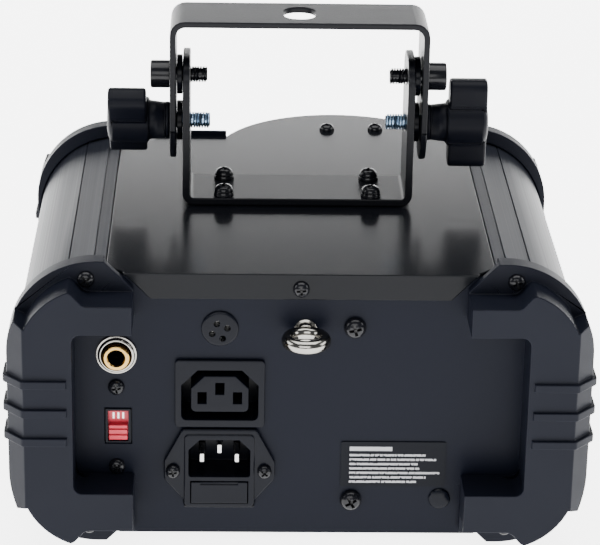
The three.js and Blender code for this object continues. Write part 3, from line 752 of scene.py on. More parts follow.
    def placed(self, name: str, slot: str, body: str = "chassis", edge: float = 0.0,
               segments: int = 2, stands_for: Sequence[str] = ()) -> bpy.types.Object:
        """Finishes the solid as a piece of the machine.

        Args:
            name: The piece's name.
            slot: The record's material slot.
            body: The CAD body that it moves with.
            edge: Radius of its rounded edges.
            segments: Steps of that rounding.
            stands_for: The CAD nodes that it replaces.

        Returns:
            The piece.
        """
        piece = linked(name, self._mesh(MM))
        if edge:
            rounding = piece.modifiers.new("rounding", "BEVEL")
            rounding.width, rounding.segments = edge * MM, segments
            rounding.limit_method, rounding.angle_limit = "ANGLE", SMOOTH_ANGLE
            rounding.use_clamp_overlap, rounding.harden_normals = False, True
            smooth(piece.data, SMOOTH_ANGLE)
            mesh = settled(piece)
            piece.modifiers.clear()
            piece.data = mesh
        else:
            smooth(piece.data, SMOOTH_ANGLE)
        return dressed(piece, slot, body, stands_for)


def slab(centre: Corner, half: Corner, low: float, high: float, radius: float = 0.0,
         edge: float = 0.0) -> Solid:
    """Makes a rectangular block along Y.

    Args:
        centre: Its middle in X and Z.
        half: Half its width and half its height.
        low: Where it starts.
        high: Where it ends.
        radius: Radius of its corners.
        edge: Radius of its rounded rims.

    Returns:
        The block.
    """
    x, z = (around(middle, reach) for middle, reach in zip(centre, half))
    return Solid.prism(Axis.Y, rectangle(x, z, radius), low, high, edge)


def settled(piece: bpy.types.Object) -> bpy.types.Mesh:
    """Reads an object's mesh with its modifiers done.

    Args:
        piece: The object.

    Returns:
        New mesh data.
    """
    graph = bpy.context.evaluated_depsgraph_get()
    return bpy.data.meshes.new_from_object(piece.evaluated_get(graph), depsgraph=graph)


def smooth(mesh: bpy.types.Mesh, angle: float) -> None:
    """Shades faces smooth and marks edges sharper than an angle.

    Args:
        mesh: The mesh data.
        angle: The limit, in radians.
    """
    mesh.shade_smooth()
    mesh.set_sharp_from_angle(angle=angle)


def dressed(piece: bpy.types.Object, slot: str, body: str,
            stands_for: Sequence[str] = ()) -> bpy.types.Object:
    """Gives a finished piece its material and body, and hides the CAD nodes that it replaces.

    Args:
        piece: The piece.
        slot: The record's material slot.
        body: The CAD body that it moves with.
        stands_for: The CAD nodes that it replaces.

    Returns:
        The piece.
    """
    piece.data.materials.clear()
    piece.data.materials.append(BY_SLOT[slot].material())
    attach(piece, body)
    if stands_for:
        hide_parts(*stands_for)
    return piece


# ---------------------------------------------------------------- Geometry Nodes
class NodeTree:
    """A Geometry Nodes tree with named inputs, run on one object and then removed."""

    def __init__(self, name: str, inputs: dict[str, str]) -> None:
        """Starts the tree. Args: name: its name; inputs: socket type of each input, by name."""
        self.tree = bpy.data.node_groups.new(name, "GeometryNodeTree")
        self.tree.interface.new_socket("Geometry", in_out="INPUT", socket_type="NodeSocketGeometry")
        self.inputs = {key: self.tree.interface.new_socket(key, in_out="INPUT", socket_type=kind)
                       for key, kind in inputs.items()}
        self.tree.interface.new_socket("Geometry", in_out="OUTPUT", socket_type="NodeSocketGeometry")
        self.start = self.tree.nodes.new("NodeGroupInput")

    def asked(self, name: str) -> bpy.types.NodeSocket:
        """Reads a named input. Args: name: the input. Returns: its socket."""
        return self.start.outputs[name]

    def add(self, kind: str, inputs: dict | None = None, settings: dict | None = None,
            output: int | str = 0) -> bpy.types.NodeSocket:
        """Adds a node.

        Args:
            kind: The node's type.
            inputs: Sockets to link or constants to set, by name or index.
            settings: The node's own properties.
            output: Which output to hand back.

        Returns:
            That output.
        """
        node = self.tree.nodes.new(kind)
        for key, setting in (settings or {}).items():
            setattr(node, key, setting)
        for key, value in (inputs or {}).items():
            if isinstance(value, bpy.types.NodeSocket):
                self.tree.links.new(value, node.inputs[key])
            else:
                node.inputs[key].default_value = value
        return node.outputs[output]

    def maths(self, operation: str, first: object, second: object) -> bpy.types.NodeSocket:
        """Adds a sum. Args: operation, first, second: the sum. Returns: its result."""
        return self.add("ShaderNodeMath", {0: first, 1: second}, {"operation": operation})

    def close(self, geometry: bpy.types.NodeSocket) -> None:
        """Ends the tree with real geometry in the asked finish. Args: geometry: what the tree made."""
        real = self.add("GeometryNodeRealizeInstances", {"Geometry": geometry})
        painted = self.add("GeometryNodeSetMaterial", {
            "Geometry": real, "Material": self.asked("Finish")})
        end = self.tree.nodes.new("NodeGroupOutput")
        self.tree.links.new(painted, end.inputs[0])

    def run(self, mesh: bpy.types.Mesh, values: dict[str, object]) -> bpy.types.Mesh:
        """Runs the tree on a mesh.

        Args:
            mesh: The mesh that goes in.
            values: A value for each named input.

        Returns:
            The mesh that comes out.
        """
        work = linked("work", mesh)
        step = work.modifiers.new(self.tree.name, "NODES")
        step.node_group = self.tree
        for key, value in values.items():
            step[self.inputs[key].identifier] = value
        made = settled(work)
        work.modifiers.remove(step)
        bpy.data.objects.remove(work)
        return made


@dataclass
class ScrewSet:
    """Cross-head screws instanced on marked points."""

    head_radius: float = 1.0
    head_height: float = 0.78
    sites: list[tuple[Vector, Vector, float, float]] = field(default_factory=list)

    def add(self, x: float, y: float, z: float, facing: Corner, radius: float, spin: float) -> None:
        """Marks one screw.

        Args:
            x: Place of its seat.
            y: Place of its seat.
            z: Place of its seat.
            facing: The way that its head looks.
            radius: Head radius.
            spin: Turn of its cross, in degrees.
        """
        self.sites.append((Vector((x, y, z)) * MM, Vector(facing), radius, math.radians(spin)))

    def head(self) -> bpy.types.Object:
        """Makes the head that is instanced, of radius 1. Returns: a working object."""
        height = self.head_height
        profile = [(0, -0.2), (0.86, -0.2), (1, 0), (1, 0.1 * height), (0.97, 0.35 * height),
                   (0.85, 0.66 * height), (0.6, 0.9 * height), (0.3, height), (0, height)]
        dome = Solid.turned(Axis.Z, 0, 0, profile, 32)
        bars = [Solid.prism(Axis.Z, rectangle(around(0, a), around(0, b)), 0.3 * height, 2)
                for a, b in ((0.13, 0.56), (0.56, 0.13))]
        floor, above = 0.2 * height, 2
        well = Solid.turned(Axis.Z, 0, 0, [(0, floor), (0.12, floor), (0.3, above), (0, above)], 12)
        made = linked("head", dome.combined(Cut.AWAY, *bars, well)._mesh(MM))
        smooth(made.data, SMOOTH_ANGLE)
        return made

    def tree(self) -> NodeTree:
        """Builds the tree that sets a head on every point. Returns: the tree."""
        tree = NodeTree("screw_set", {"Head": "NodeSocketObject", "Finish": "NodeSocketMaterial"})
        named = "GeometryNodeInputNamedAttribute"
        vector = {"data_type": "FLOAT_VECTOR"}
        facing = tree.add(named, {"Name": "facing"}, vector)
        spin = tree.add(named, {"Name": "spin"}, {"data_type": "FLOAT"})
        size = tree.add(named, {"Name": "size"}, {"data_type": "FLOAT"})
        aligned = tree.add("FunctionNodeAlignRotationToVector", {"Vector": facing}, {"axis": "Z"})
        turn = tree.add("FunctionNodeAxisAngleToRotation", {"Axis": (0, 0, 1), "Angle": spin})
        way = tree.add("FunctionNodeRotateRotation", {0: aligned, 1: turn}, {"rotation_space": "LOCAL"})
        head = tree.add("GeometryNodeObjectInfo", {"Object": tree.asked("Head")}, output="Geometry")
        tree.close(tree.add("GeometryNodeInstanceOnPoints", {
            "Points": tree.asked("Geometry"), "Instance": head, "Rotation": way, "Scale": size}))
        return tree

    def build(self, name: str, slot: str, stands_for: Sequence[str]) -> bpy.types.Object:
        """Makes all the screws as one piece of the chassis.

        Args:
            name: The piece's name.
            slot: The record's material slot.
            stands_for: The CAD screws that they replace.

        Returns:
            The piece.
        """
        mesh = bpy.data.meshes.new("sites")
        mesh.from_pydata([site[0] for site in self.sites], [], [])
        columns = (("facing", "FLOAT_VECTOR", "vector"), ("size", "FLOAT", "value"),
                   ("spin", "FLOAT", "value"))
        for column, (key, kind, value) in enumerate(columns, start=1):
            attribute = mesh.attributes.new(key, kind, "POINT")
            for item, site in zip(attribute.data, self.sites):
                setattr(item, value, site[column])
        head = self.head()
        made = self.tree().run(mesh, {"Head": head, "Finish": BY_SLOT[slot].material()})
        bpy.data.objects.remove(head)
        return dressed(linked(name, made), slot, "chassis", stands_for)


@dataclass
class Thread:
    """A rod with a helical ridge, drawn along Z and then laid where it belongs."""

    radius: float = 3.4
    pitch: float = 1.1
    ridge: float = 0.45
    turn_steps: int = 28

    def tree(self) -> NodeTree:
        """Builds the tree. Returns: the tree."""
        number = "NodeSocketFloat"
        tree = NodeTree("thread", {"Length": number, "Radius": number, "Pitch": number, "Ridge": number,
                                   "Finish": "NodeSocketMaterial"})
        length, radius = tree.asked("Length"), tree.asked("Radius")
        pitch, ridge = tree.asked("Pitch"), tree.asked("Ridge")
        run = tree.maths("SUBTRACT", length, pitch)
        turns = tree.maths("DIVIDE", run, pitch)
        crest = tree.maths("SUBTRACT", radius, ridge)
        helix = tree.add("GeometryNodeCurveSpiral", {
            "Resolution": self.turn_steps, "Rotations": turns, "Start Radius": crest,
            "End Radius": crest, "Height": run})
        profile = tree.add("GeometryNodeCurvePrimitiveCircle", {"Resolution": 4, "Radius": ridge})
        ridges = tree.add("GeometryNodeCurveToMesh", {"Curve": helix, "Profile Curve": profile,
                                                      "Fill Caps": True})
        half_pitch = tree.maths("MULTIPLY", pitch, 0.5)
        lift = tree.add("ShaderNodeCombineXYZ", {"Z": half_pitch})
        lifted = tree.add("GeometryNodeTransform", {"Geometry": ridges, "Translation": lift})
        root = tree.maths("SUBTRACT", crest, ridge)
        core = tree.add("GeometryNodeMeshCylinder", {"Vertices": 32, "Radius": root, "Depth": length})
        middle = tree.maths("MULTIPLY", length, 0.5)
        centred = tree.add("GeometryNodeTransform", {
            "Geometry": core, "Translation": tree.add("ShaderNodeCombineXYZ", {"Z": middle})})
        both = tree.tree.nodes.new("GeometryNodeJoinGeometry")
        for part in (lifted, centred):
            tree.tree.links.new(part, both.inputs[0])
        tree.close(both.outputs[0])
        return tree

    def build(self, name: str, slot: str, body: str, x: Corner, z: float,
              stands_for: Sequence[str] = ()) -> bpy.types.Object:
        """Makes one threaded rod along X.

        Args:
            name: The piece's name.
            slot: The record's material slot.
            body: The CAD body that it moves with.
            x: Where it starts and ends.
            z: Its height.
            stands_for: The CAD nodes that it replaces.

        Returns:
            The piece.
        """
        made = self.tree().run(bpy.data.meshes.new("start"), {
            "Length": abs(x[1] - x[0]) * MM, "Radius": self.radius * MM, "Pitch": self.pitch * MM,
            "Ridge": self.ridge * MM, "Finish": BY_SLOT[slot].material()})
        quarter = math.copysign(math.pi / 2, x[1] - x[0])
        start = Vector((x[0], M.strap, z)) * MM
        made.transform(Matrix.Translation(start) @ Matrix.Rotation(quarter, 4, "Y"))
        smooth(made, SMOOTH_ANGLE)
        return dressed(linked(name, made), slot, body, stands_for)


# ---------------------------------------------------------------- end mouldings
@dataclass
class Bumper:
    """One end moulding: thin rim, skirt over the extrusion, C-shaped pad and three ribs.

    The rear right one is drawn and the other three are its mirror images.
    """

    corner: float = 34.5
    rise: float = 20.0
    rim: float = 3.8
    skirt: float = 4.3
    wall: float = 2.4
    arm: float = 65.2
    rim_top: float = 76.4
    arm_top: float = 107.7
    pad_radius: float = 29.7
    face: float = 107.3
    recess: tuple[float, float, float, float] = (88.4, 28.5, 95.8, 3.5)
    rib_heights: tuple[float, ...] = (75.3, 63.2, 51.1)
    rib_rise: float = 1.5
    rib_half: float = 1.7
    inner_foot: float = 4.4
    pad_margin: float = 4.8
    shell_half: float = 112.5
    shell_corner: float = 35.5
    pad_draft: float = math.radians(25)
    rounding: float = 0.45
    arc_steps: int = 22

    def rim_plate(self) -> Solid:
        """Draws the thin rim with its skirt. Returns: the rim and the skirt."""
        w, top, r = M.half_width, M.height, self.corner
        x, z0, z1, inner = self.recess
        ring = outline([
            (self.rim_top, top), (w, top, r), (w, 0, r), (self.rim_top, 0), (72, self.inner_foot),
            (self.arm, self.inner_foot), (self.arm, z0), (x, z0, inner), (x, z1, inner),
            (self.arm, z1), (self.arm, self.arm_top + 1)], self.arc_steps)
        plate = Solid.prism(Axis.Y, ring, M.rear - self.rim, OUTSIDE)
        low, high = M.height - M.cover - M.gap, M.cover + M.gap
        shell, bend, inside = self.shell_half + M.gap, self.shell_corner, self.rim_top - 5
        tunnel = outline([(inside, high), (shell, high, bend), (shell, low, bend), (inside, low)],
                         self.arc_steps)
        lap = Solid.prism(Axis.Y, self.corner_shape(), OUTSIDE - 0.5, M.rear + self.skirt)
        lap = lap.combined(Cut.AWAY, Solid.prism(Axis.Y, tunnel, OUTSIDE - 1, M.rear + self.skirt + 1))
        return plate.combined(Cut.JOIN, lap)

    def corner_shape(self) -> list[Vector]:
        """Draws the moulding's outer shape. Returns: its outline seen from behind the machine."""
        w, top, r = M.half_width, M.height, self.corner
        return outline([(self.rim_top, top), (w, top, r), (w, 0, r), (self.rim_top, 0)], self.arc_steps)

    def pad_shape(self, by: float) -> list[Vector]:
        """Draws the C of the pad.

        Args:
            by: How much smaller it is drawn, for the hollow behind it.

        Returns:
            The outline.
        """
        x, z0, z1, inner = self.recess
        right = M.half_width - self.corner + self.pad_radius - by
        high, low = M.height - self.pad_margin - by, self.pad_margin + by
        r = self.pad_radius - by
        return outline([(self.arm + by, high), (right, high, r), (right, low, r), (self.arm + by, low),
                        (self.arm + by, z0 - by), (x + by, z0 - by, inner), (x + by, z1 + by, inner),
                        (self.arm + by, z1 + by)], 16)

    def pockets(self, by: float, low: float, high: float) -> list[Solid]:
        """Makes the cutters for the two screw pockets.

        Args:
            by: How much larger they are.
            low: Where they start along Y.
            high: Where they end along Y.

        Returns:
            The upper and the lower cutter.
        """
        top = M.height
        corners = [(self.arm - 2, self.arm_top - by), (84 + by / 2, self.arm_top - by, 4),
                   (88.2 + by, top - 7.4 - by / 2, 4), (93 + by, top - 4.8), (93 + by, top + 2),
                   (self.arm - 2, top + 2)]
        lower = [(c[0], top - c[1], *c[2:]) for c in reversed(corners)]
        return [Solid.prism(Axis.Y, outline(shape, 4), low, high) for shape in (corners, lower)]

    def ribs(self) -> list[Solid]:
        """Makes the three ribs that wrap the corner. Returns: the ribs."""
        face, out = M.rear - self.rise, self.rib_rise
        rim = M.rear - self.rim + 2.4
        section = outline([
            (90.6, face - out, 1), (self.face + 0.6, face - out, 2), (M.half_width + out, face + 7, 2),
            (M.half_width + out, rim, 0.6), (M.half_width - 3, rim), (self.face - 3, face + 3),
            (90.6, face + 3)], 4)
        return [Solid.prism(Axis.Z, section, *around(z, self.rib_half)) for z in self.rib_heights]

    def solid(self) -> Solid:
        """Draws the rear right moulding. Returns: the whole moulding."""
        face, rim = M.rear - self.rise, M.rear - self.rim
        block = Solid.prism(Axis.Y, self.pad_shape(0), face, rim + 1)
        block = block.combined(Cut.AWAY, *self.pockets(0, face - 1, rim + 2))
        slope = math.tan(self.pad_draft)
        centre, upper = M.half_width - self.corner, M.height - self.corner
        wedge = outline([(100, upper + 20 * slope), (100, self.corner - 20 * slope),
                         (centre + 45, self.corner - 45 * slope), (centre + 45, upper + 45 * slope)])
        strip = Solid.prism(Axis.Y, self.corner_shape(), face, rim + 1).combined(
            Cut.SHARED, Solid.prism(Axis.Y, wedge, face, rim + 1))
        edge = M.half_width + 0.01
        bevel = outline([(60, face), (self.face, face), (edge, face + 8), (edge, M.rear + 10),
                         (60, M.rear + 10)])
        pad = block.combined(Cut.JOIN, strip).combined(
            Cut.SHARED, Solid.prism(Axis.Z, bevel, -1, M.height + 1))
        core = Solid.prism(Axis.Y, self.pad_shape(self.wall), face + self.wall, M.rear + 1).combined(
            Cut.SHARED, Solid.prism(Axis.Y, rectangle((60, self.face - self.wall), (0, M.height)),
                                    face, M.rear + 2))
        core = core.combined(Cut.AWAY, *self.pockets(self.wall, face, M.rear + 2))
        return self.rim_plate().combined(Cut.JOIN, pad, *self.ribs()).combined(Cut.AWAY, core)

    def build(self) -> list[bpy.types.Object]:
        """Makes the four mouldings. Returns: the pieces."""
        middle = (M.rear + M.front) / 2
        right = self.solid()
        left = right.mirrored(0)
        made = {"rear_right_bumper": right, "rear_left_bumper": left,
                "front_right_bumper": right.mirrored(1, middle),
                "front_left_bumper": left.mirrored(1, middle)}
        return [solid.placed(f"{name}_moulding", "bumper_plastic", edge=self.rounding,
                             stands_for=[name]) for name, solid in made.items()]


# ---------------------------------------------------------------- refined CAD nodes
@dataclass
class Refined:
    """CAD nodes kept as they are but for merged faces, rounded edges and smooth curves."""

    kind: str
    slot: str
    names: tuple[str, ...]
    edge: float = 0.4
    body: str = "chassis"

    def build(self) -> list[bpy.types.Object]:
        """Makes a piece of every node. Returns: the pieces."""
        return [Solid.of_node(name).placed(f"{name}_{self.kind}", self.slot, self.body, self.edge,
                                           stands_for=[name]) for name in self.names]


SHELL = [
    Refined("shell", "anodised_shell", ("right_side_extrusion", "left_side_extrusion"), 0.12),
    Refined("sheet", "cover_paint", ("top_plate",), 0.45),
    Refined("sheet", "panel_paint", ("rear_panel", "front_panel", "bottom_plate"), 0.3),
    Refined("strap", "bracket_paint", ("lower_bracket",), 0.55),
    Refined("strap", "bracket_paint", ("tilt_bracket",), 0.55, "tilt_bracket"),
    Refined("ring", "gloss_black_plastic", ("right_lower_washer", "left_lower_washer",
                                            "right_upper_washer", "left_upper_washer"), 0.3),
    Refined("film", "label_film", ("label_plate",), 0.0),
]
INSIDE = [
    Refined("part", "gloss_black_plastic", ("jack_housing", "thermostat"), 0.4),
    Refined("part", "contact_metal", ("inlet_neutral_pin", "inlet_live_pin", "inlet_earth_pin"), 0.45),
    Refined("part", "galvanised", ("electronics_bracket", "heater_cradle", "tank_tray",
                                   "safety_eye_nut"), 0.2),
    Refined("part", "cast_aluminium", ("pump_body", "heater_block"), 0.5),
    Refined("part", "blanket", ("heater_blanket",), 0.8),
    Refined("part", "board_green", ("control_board",), 0.15),
    Refined("part", "silicone", ("pressure_hose",), 0.0),
    Refined("part", "brass", ("fog_nozzle",), 0.35),
    Refined("part", "contact_metal", ("microphone_capsule",), 0.3),
    Refined("part", "contact_metal", ("pump_piston",), 0.3, "pump_piston"),
    Refined("part", "fuse_glass", ("fuse",), 0.3, "fuse_drawer"),
    Refined("part", "gloss_black_plastic", ("fuse_drawer",), 0.3, "fuse_drawer"),
    Refined("part", "tank_plastic", ("fluid_tank",), 1.0, "tank"),
]


# ---------------------------------------------------------------- knobs and bolts
@dataclass
class ClampKnob:
    """A two-winged knob with a round hub, a tapered boss and its threaded stud."""

    side: str
    turn: float
    reach: float = 18.7
    wing: float = 5.4
    waist: float = 9.0
    bulge: float = 7.4
    hub: float = 9.5
    back: float = 62.0
    collar: float = 7.6
    bore: float = 3.7
    end: float = 79.0
    stud: Corner = (36.4, 69.4)

    def grip(self) -> Solid:
        """Draws the knob about the X axis at the right. Returns: the knob."""
        r, w, n = self.reach, self.wing, self.waist
        half = [(-r, -w, 4.2), (-n, -w, 6), (0, -self.bulge, 9), (n, -w, 6), (r, -w, 4.2)]
        shape = outline(half + [(-a, -b, c) for a, b, c in half], 8)
        h, back, end, face, collar = self.hub, self.back, self.end, M.arm_face, self.collar
        wings = Solid.prism(Axis.X, shape, back + 0.7, end - 0.6, 1.2, 4)
        hub = Solid.turned(Axis.X, 0, 0, [
            (0, back - 0.4), (h - 0.6, back - 0.4), (h, back + 0.2), (h, end - 2.4),
            (h - 0.8, end - 1.2), (h - 2.4, end - 0.4), (h - 4.6, end), (0, end)])
        boss = Solid.turned(Axis.X, 0, 0, [
            (0, face), (collar - 0.4, face), (collar, face + 0.4), (collar, face + 1.5),
            (collar - 0.4, face + 1.9), (collar - 0.2, face + 2.3), (collar + 0.6, back), (0, back)])
        bore = Solid.prism(Axis.X, circle(0, 0, self.bore, 32), face - 1, back + 8)
        return wings.combined(Cut.JOIN, hub, boss).combined(Cut.AWAY, bore)

    def build(self) -> list[bpy.types.Object]:
        """Makes the knob and its stud. Returns: the pieces."""
        body = f"{self.side}_knob"
        sign = 1 if self.side == "right" else -1
        grip = self.grip().moved(Matrix.Translation((0, M.strap, M.pivot))
                                 @ Matrix.Rotation(math.radians(self.turn), 4, "X"))
        if sign < 0:
            grip = grip.mirrored(0)
        rod = Thread().build(f"{body}_stud_thread", "zinc_blue", body,
                             (sign * self.stud[0], sign * self.stud[1]), M.pivot, [f"{body}_stud"])
        return [grip.placed(f"{body}_grip", "knob_plastic", body, 0.5, 2, [body]), rod]


@dataclass
class TiltBolt:
    """A socket head bolt through both arms of the brackets on one side."""

    side: str
    tip: float = 37.6
    head_radius: float = 5.75
    head_length: float = 7.9
    socket: float = 2.9
    socket_depth: float = 3.5

    def build(self) -> list[bpy.types.Object]:
        """Makes the head and the threaded shank. Returns: the pieces."""
        sign = 1 if self.side == "right" else -1
        face, end, r = M.arm_face, M.arm_face + self.head_length, self.head_radius
        head = Solid.turned(Axis.X, M.strap, M.bolt, [
            (0, face), (r - 0.2, face), (r, face + 0.2), (r, end - 0.7), (r - 0.2, end - 0.2),
            (r - 0.7, end), (0, end)])
        well = Solid.prism(Axis.X, circle(M.strap, M.bolt, self.socket, 6),
                           end - self.socket_depth, end + 1)
        head = head.combined(Cut.AWAY, well)
        if sign < 0:
            head = head.mirrored(0)
        node = f"{self.side}_tilt_bolt"
        return [head.placed(f"{node}_head", "black_steel"),
                Thread().build(f"{node}_thread", "black_steel", "chassis",
                               (sign * self.tip, sign * face), M.bolt, [node])]


# ---------------------------------------------------------------- sockets and controls
def chamfered(x: float, half: float, low: float, high: float, chamfer: float,
              foot: float) -> list[Vector]:
    """Draws a mains socket's outline, its upper corners cut off and its lower ones rounded.

    Args:
        x: Its middle.
        half: Half its width.
        low: Its lower edge.
        high: Its upper edge.
        chamfer: Size of the upper chamfers.
        foot: Radius of the lower corners.

    Returns:
        The outline.
    """
    return outline([(x - half, low, foot), (x + half, low, foot), (x + half, high - chamfer, 0.6),
                    (x + half - chamfer, high, 0.6), (x - half + chamfer, high, 0.6),
                    (x - half, high - chamfer, 0.6)], 5)


@dataclass
class MainsSockets:
    """The through outlet above the fused mains inlet."""

    x: float = -31.4
    outlet: float = 63.6
    outlet_depth: float = 16.0
    outlet_slots: float = 61.7
    inlet_pins: float = 34.2
    inlet_rise: float = 3.0
    inlet_depth: float = 13.0
    pitch: float = 7.0
    middle_rise: float = 4.0

    def slots(self, half: Corner, z: float, low: float, high: float) -> list[Solid]:
        """Makes cutters for three contacts.

        Args:
            half: Half the width and half the height of a cutter.
            z: Height of the outer two; the middle one is higher.
            low: Where they start along Y.
            high: Where they end along Y.

        Returns:
            The cutters.
        """
        places = ((self.x - self.pitch, z), (self.x + self.pitch, z), (self.x, z + self.middle_rise))
        return [slab(place, half, low, high) for place in places]

    def outlet_body(self) -> Solid:
        """Draws the outlet. Returns: its body with a tongue and three slots."""
        x, centre, floor = self.x, (self.x, self.outlet), M.rear + self.outlet_depth
        flange = slab(centre, (17.7, 14.4), OUTSIDE - 1.6, OUTSIDE, 1.5, 0.4)
        box = slab(centre, (16.6, 13.4), OUTSIDE - 0.5, floor + 6)
        recess = Solid.prism(Axis.Y, chamfered(x, 15.2, 52.4, 73.8, 6.5, 2.3), OUTSIDE - 3, floor)
        tongue = Solid.prism(Axis.Y, chamfered(x, 11.4, 55.7, 71.1, 5.2, 2),
                             OUTSIDE - 1, floor + 1, 0.4)
        slots = self.slots((1.75, 2.5), self.outlet_slots, OUTSIDE - 3, floor + 1)
        return flange.combined(Cut.JOIN, box).combined(
            Cut.AWAY, recess.combined(Cut.AWAY, tongue)).combined(Cut.AWAY, *slots)

    def inlet_body(self) -> Solid:
        """Draws the inlet. Returns: its flange, cavity and drawer opening."""
        x, face, floor = self.x, OUTSIDE - self.inlet_rise, M.rear + self.inlet_depth
        half = [(14.8, 48.6, 1.5), (22.1, 34.5, 3.5), (22.1, 27, 3.5), (14.2, 17.5, 1),
                (14.2, 14.2, 0.8)]
        shape = outline([(x + a, b, r) for a, b, r in half]
                        + [(x - a, b, r) for a, b, r in reversed(half)], 6)
        flange = Solid.prism(Axis.Y, shape, face + 0.6, OUTSIDE, 0.6)
        width = around(x, 13.9)
        collar = Solid.prism(Axis.Y, rectangle(width, (15, 46.6), 1.8), face, OUTSIDE - 1, 0.5)
        box = Solid.prism(Axis.Y, rectangle(width, (15, 47.6)), OUTSIDE - 1, M.rear + 30)
        cavity = Solid.prism(Axis.Y, chamfered(x, 12.25, 28.2, 44.3, 4.4, 1.2), face - 1, floor)
        drawer = Solid.prism(Axis.Y, rectangle(around(x, 11.5), (16.5, 26.3)), face - 1, M.rear + 22)
        return flange.combined(Cut.JOIN, collar, box).combined(
            Cut.AWAY, cavity, drawer,
            *self.slots((1.15, 2.15), self.inlet_pins, floor - 1, M.rear + 31))

    def build(self) -> list[bpy.types.Object]:
        """Makes both sockets. Returns: the pieces."""
        bodies = {"mains_outlet": self.outlet_body(), "mains_inlet": self.inlet_body()}
        return [solid.placed(f"{node}_body", "gloss_black_plastic", edge=0.25, stands_for=[node])
                for node, solid in bodies.items()]


@dataclass
class ControlJack:
    """The quarter inch jack: a bright nut round a gold bush."""

    x: float = -72.0
    z: float = 79.9

    def build(self) -> list[bpy.types.Object]:
        """Makes the nut and the bush. Returns: the pieces."""
        y, back = OUTSIDE - 2.2, M.rear - 5
        nut = [(5.5, OUTSIDE), (8.1, OUTSIDE), (8.1, y + 1.7), (7.9, y + 1.3), (7.4, y + 1.2),
               (7.2, y + 1.0), (7.1, y + 0.5), (6.9, y + 0.2), (6.5, y), (6.2, y), (5.9, y + 0.3),
               (5.7, y + 1.0), (5.5, y + 1.2)]
        bush = [(5.2, M.rear + 4), (5.2, back + 0.4), (4.9, back + 0.1), (4.5, back), (3.7, back + 0.1),
                (3.25, back + 0.6), (3.25, M.rear + 4)]
        return [
            Solid.turned(Axis.Y, self.x, self.z, nut, closed=True).placed(
                "jack_nut_ring", "nickel", stands_for=["jack_nut"]),
            Solid.turned(Axis.Y, self.x, self.z, bush, closed=True).placed(
                "jack_bush_sleeve", "brass", stands_for=["jack_bush"])]


@dataclass
class VoltageSelector:
    """A red slide in a black frame, with three plain tally strokes."""

    x: float = -71.6
    z: float = 48.9
    stroke: Corner = (0.35, 1.3)
    stroke_pitch: float = 1.9
    stroke_rise: float = 3.2

    def build(self) -> list[bpy.types.Object]:
        """Makes the frame, the slide and its strokes. Returns: the pieces."""
        x, y, centre = self.x, M.rear, (self.x, self.z)
        bezel = slab(centre, (5.1, 7.5), OUTSIDE, y + 2.4, 0.5, 0.25)
        case = Solid.prism(Axis.Y, rectangle(around(x, 6.4), (33.2, 64.2)), y + 1.8, y + 13)
        window = slab(centre, (4.1, 6.6), OUTSIDE - 1, y + 4)
        track = Solid.prism(Axis.Y, rectangle(around(x, 4.4), (34.2, 63.5)), y + 2.6, y + 9)
        frame_piece = bezel.combined(Cut.JOIN, case).combined(Cut.AWAY, window, track).placed(
            "voltage_selector_frame", "gloss_black_plastic", stands_for=["voltage_selector"])
        plate = Solid.prism(Axis.Y, rectangle(around(x, 4), (35, 56.9)), y + 3, y + 6)
        block = Solid.prism(Axis.Y, rectangle(around(x, 3.7), (42.7, 49)), y + 0.1, y + 3.5, 0.2)
        grooves = [Solid.prism(Axis.Y, rectangle(around(x, 5), (low, low + 0.9)), y - 1, y + 0.9)
                   for low in (44.6, 47)]
        slide = plate.combined(Cut.JOIN, block).combined(Cut.AWAY, *grooves).placed(
            "voltage_slide", "red_plastic", "voltage_slider", stands_for=["voltage_slider"])
        strokes = [slab((x + k * self.stroke_pitch, self.z + self.stroke_rise), self.stroke,
                        y + 2.94, y + 3.05) for k in (-1, 0, 1)]
        marks = strokes[0].combined(Cut.JOIN, *strokes[1:]).placed(
            "voltage_slide_strokes", "contact_metal", "voltage_slider")
        return [frame_piece, slide, marks]


@dataclass
class Microphone:
    """The sound trigger's grommet with four holes, and the plug of an unused hole."""

    x: float = -31.5
    z: float = 91.1
    plug: Corner = (57.0, 17.7)
    holes: tuple[Corner, ...] = ((-1.2, 2.2), (2.9, 0.4), (-3.0, -2.0), (1.1, -4.0))

    def build(self) -> list[bpy.types.Object]:
        """Makes the grommet and the plug. Returns: the pieces."""
        y = M.rear - 1.1
        body = Solid.turned(Axis.Y, self.x, self.z, [
            (0, y), (6.2, y), (6.9, y + 0.15), (7.3, y + 0.45), (7.4, OUTSIDE), (6.2, OUTSIDE),
            (6.2, M.rear + 3), (0, M.rear + 3)])
        drills = [Solid.prism(Axis.Y, circle(self.x + dx, self.z + dz, 1.25, 20), y - 1, M.rear + 4)
                  for dx, dz in self.holes]
        cap = M.rear - 1.6
        plug = Solid.turned(Axis.Y, *self.plug, [
            (0, cap), (1.6, cap), (3, cap + 0.15), (4, cap + 0.5), (4.4, cap + 1), (4.4, OUTSIDE),
            (3.1, OUTSIDE), (3.1, M.rear + 4), (0, M.rear + 4)], 32)
        slot = "gloss_black_plastic"
        return [body.combined(Cut.AWAY, *drills).placed("microphone_cover", slot, edge=0.15,
                                                        stands_for=["microphone_grommet"]),
                plug.placed("hole_plug_cap", slot, stands_for=["hole_plug"])]


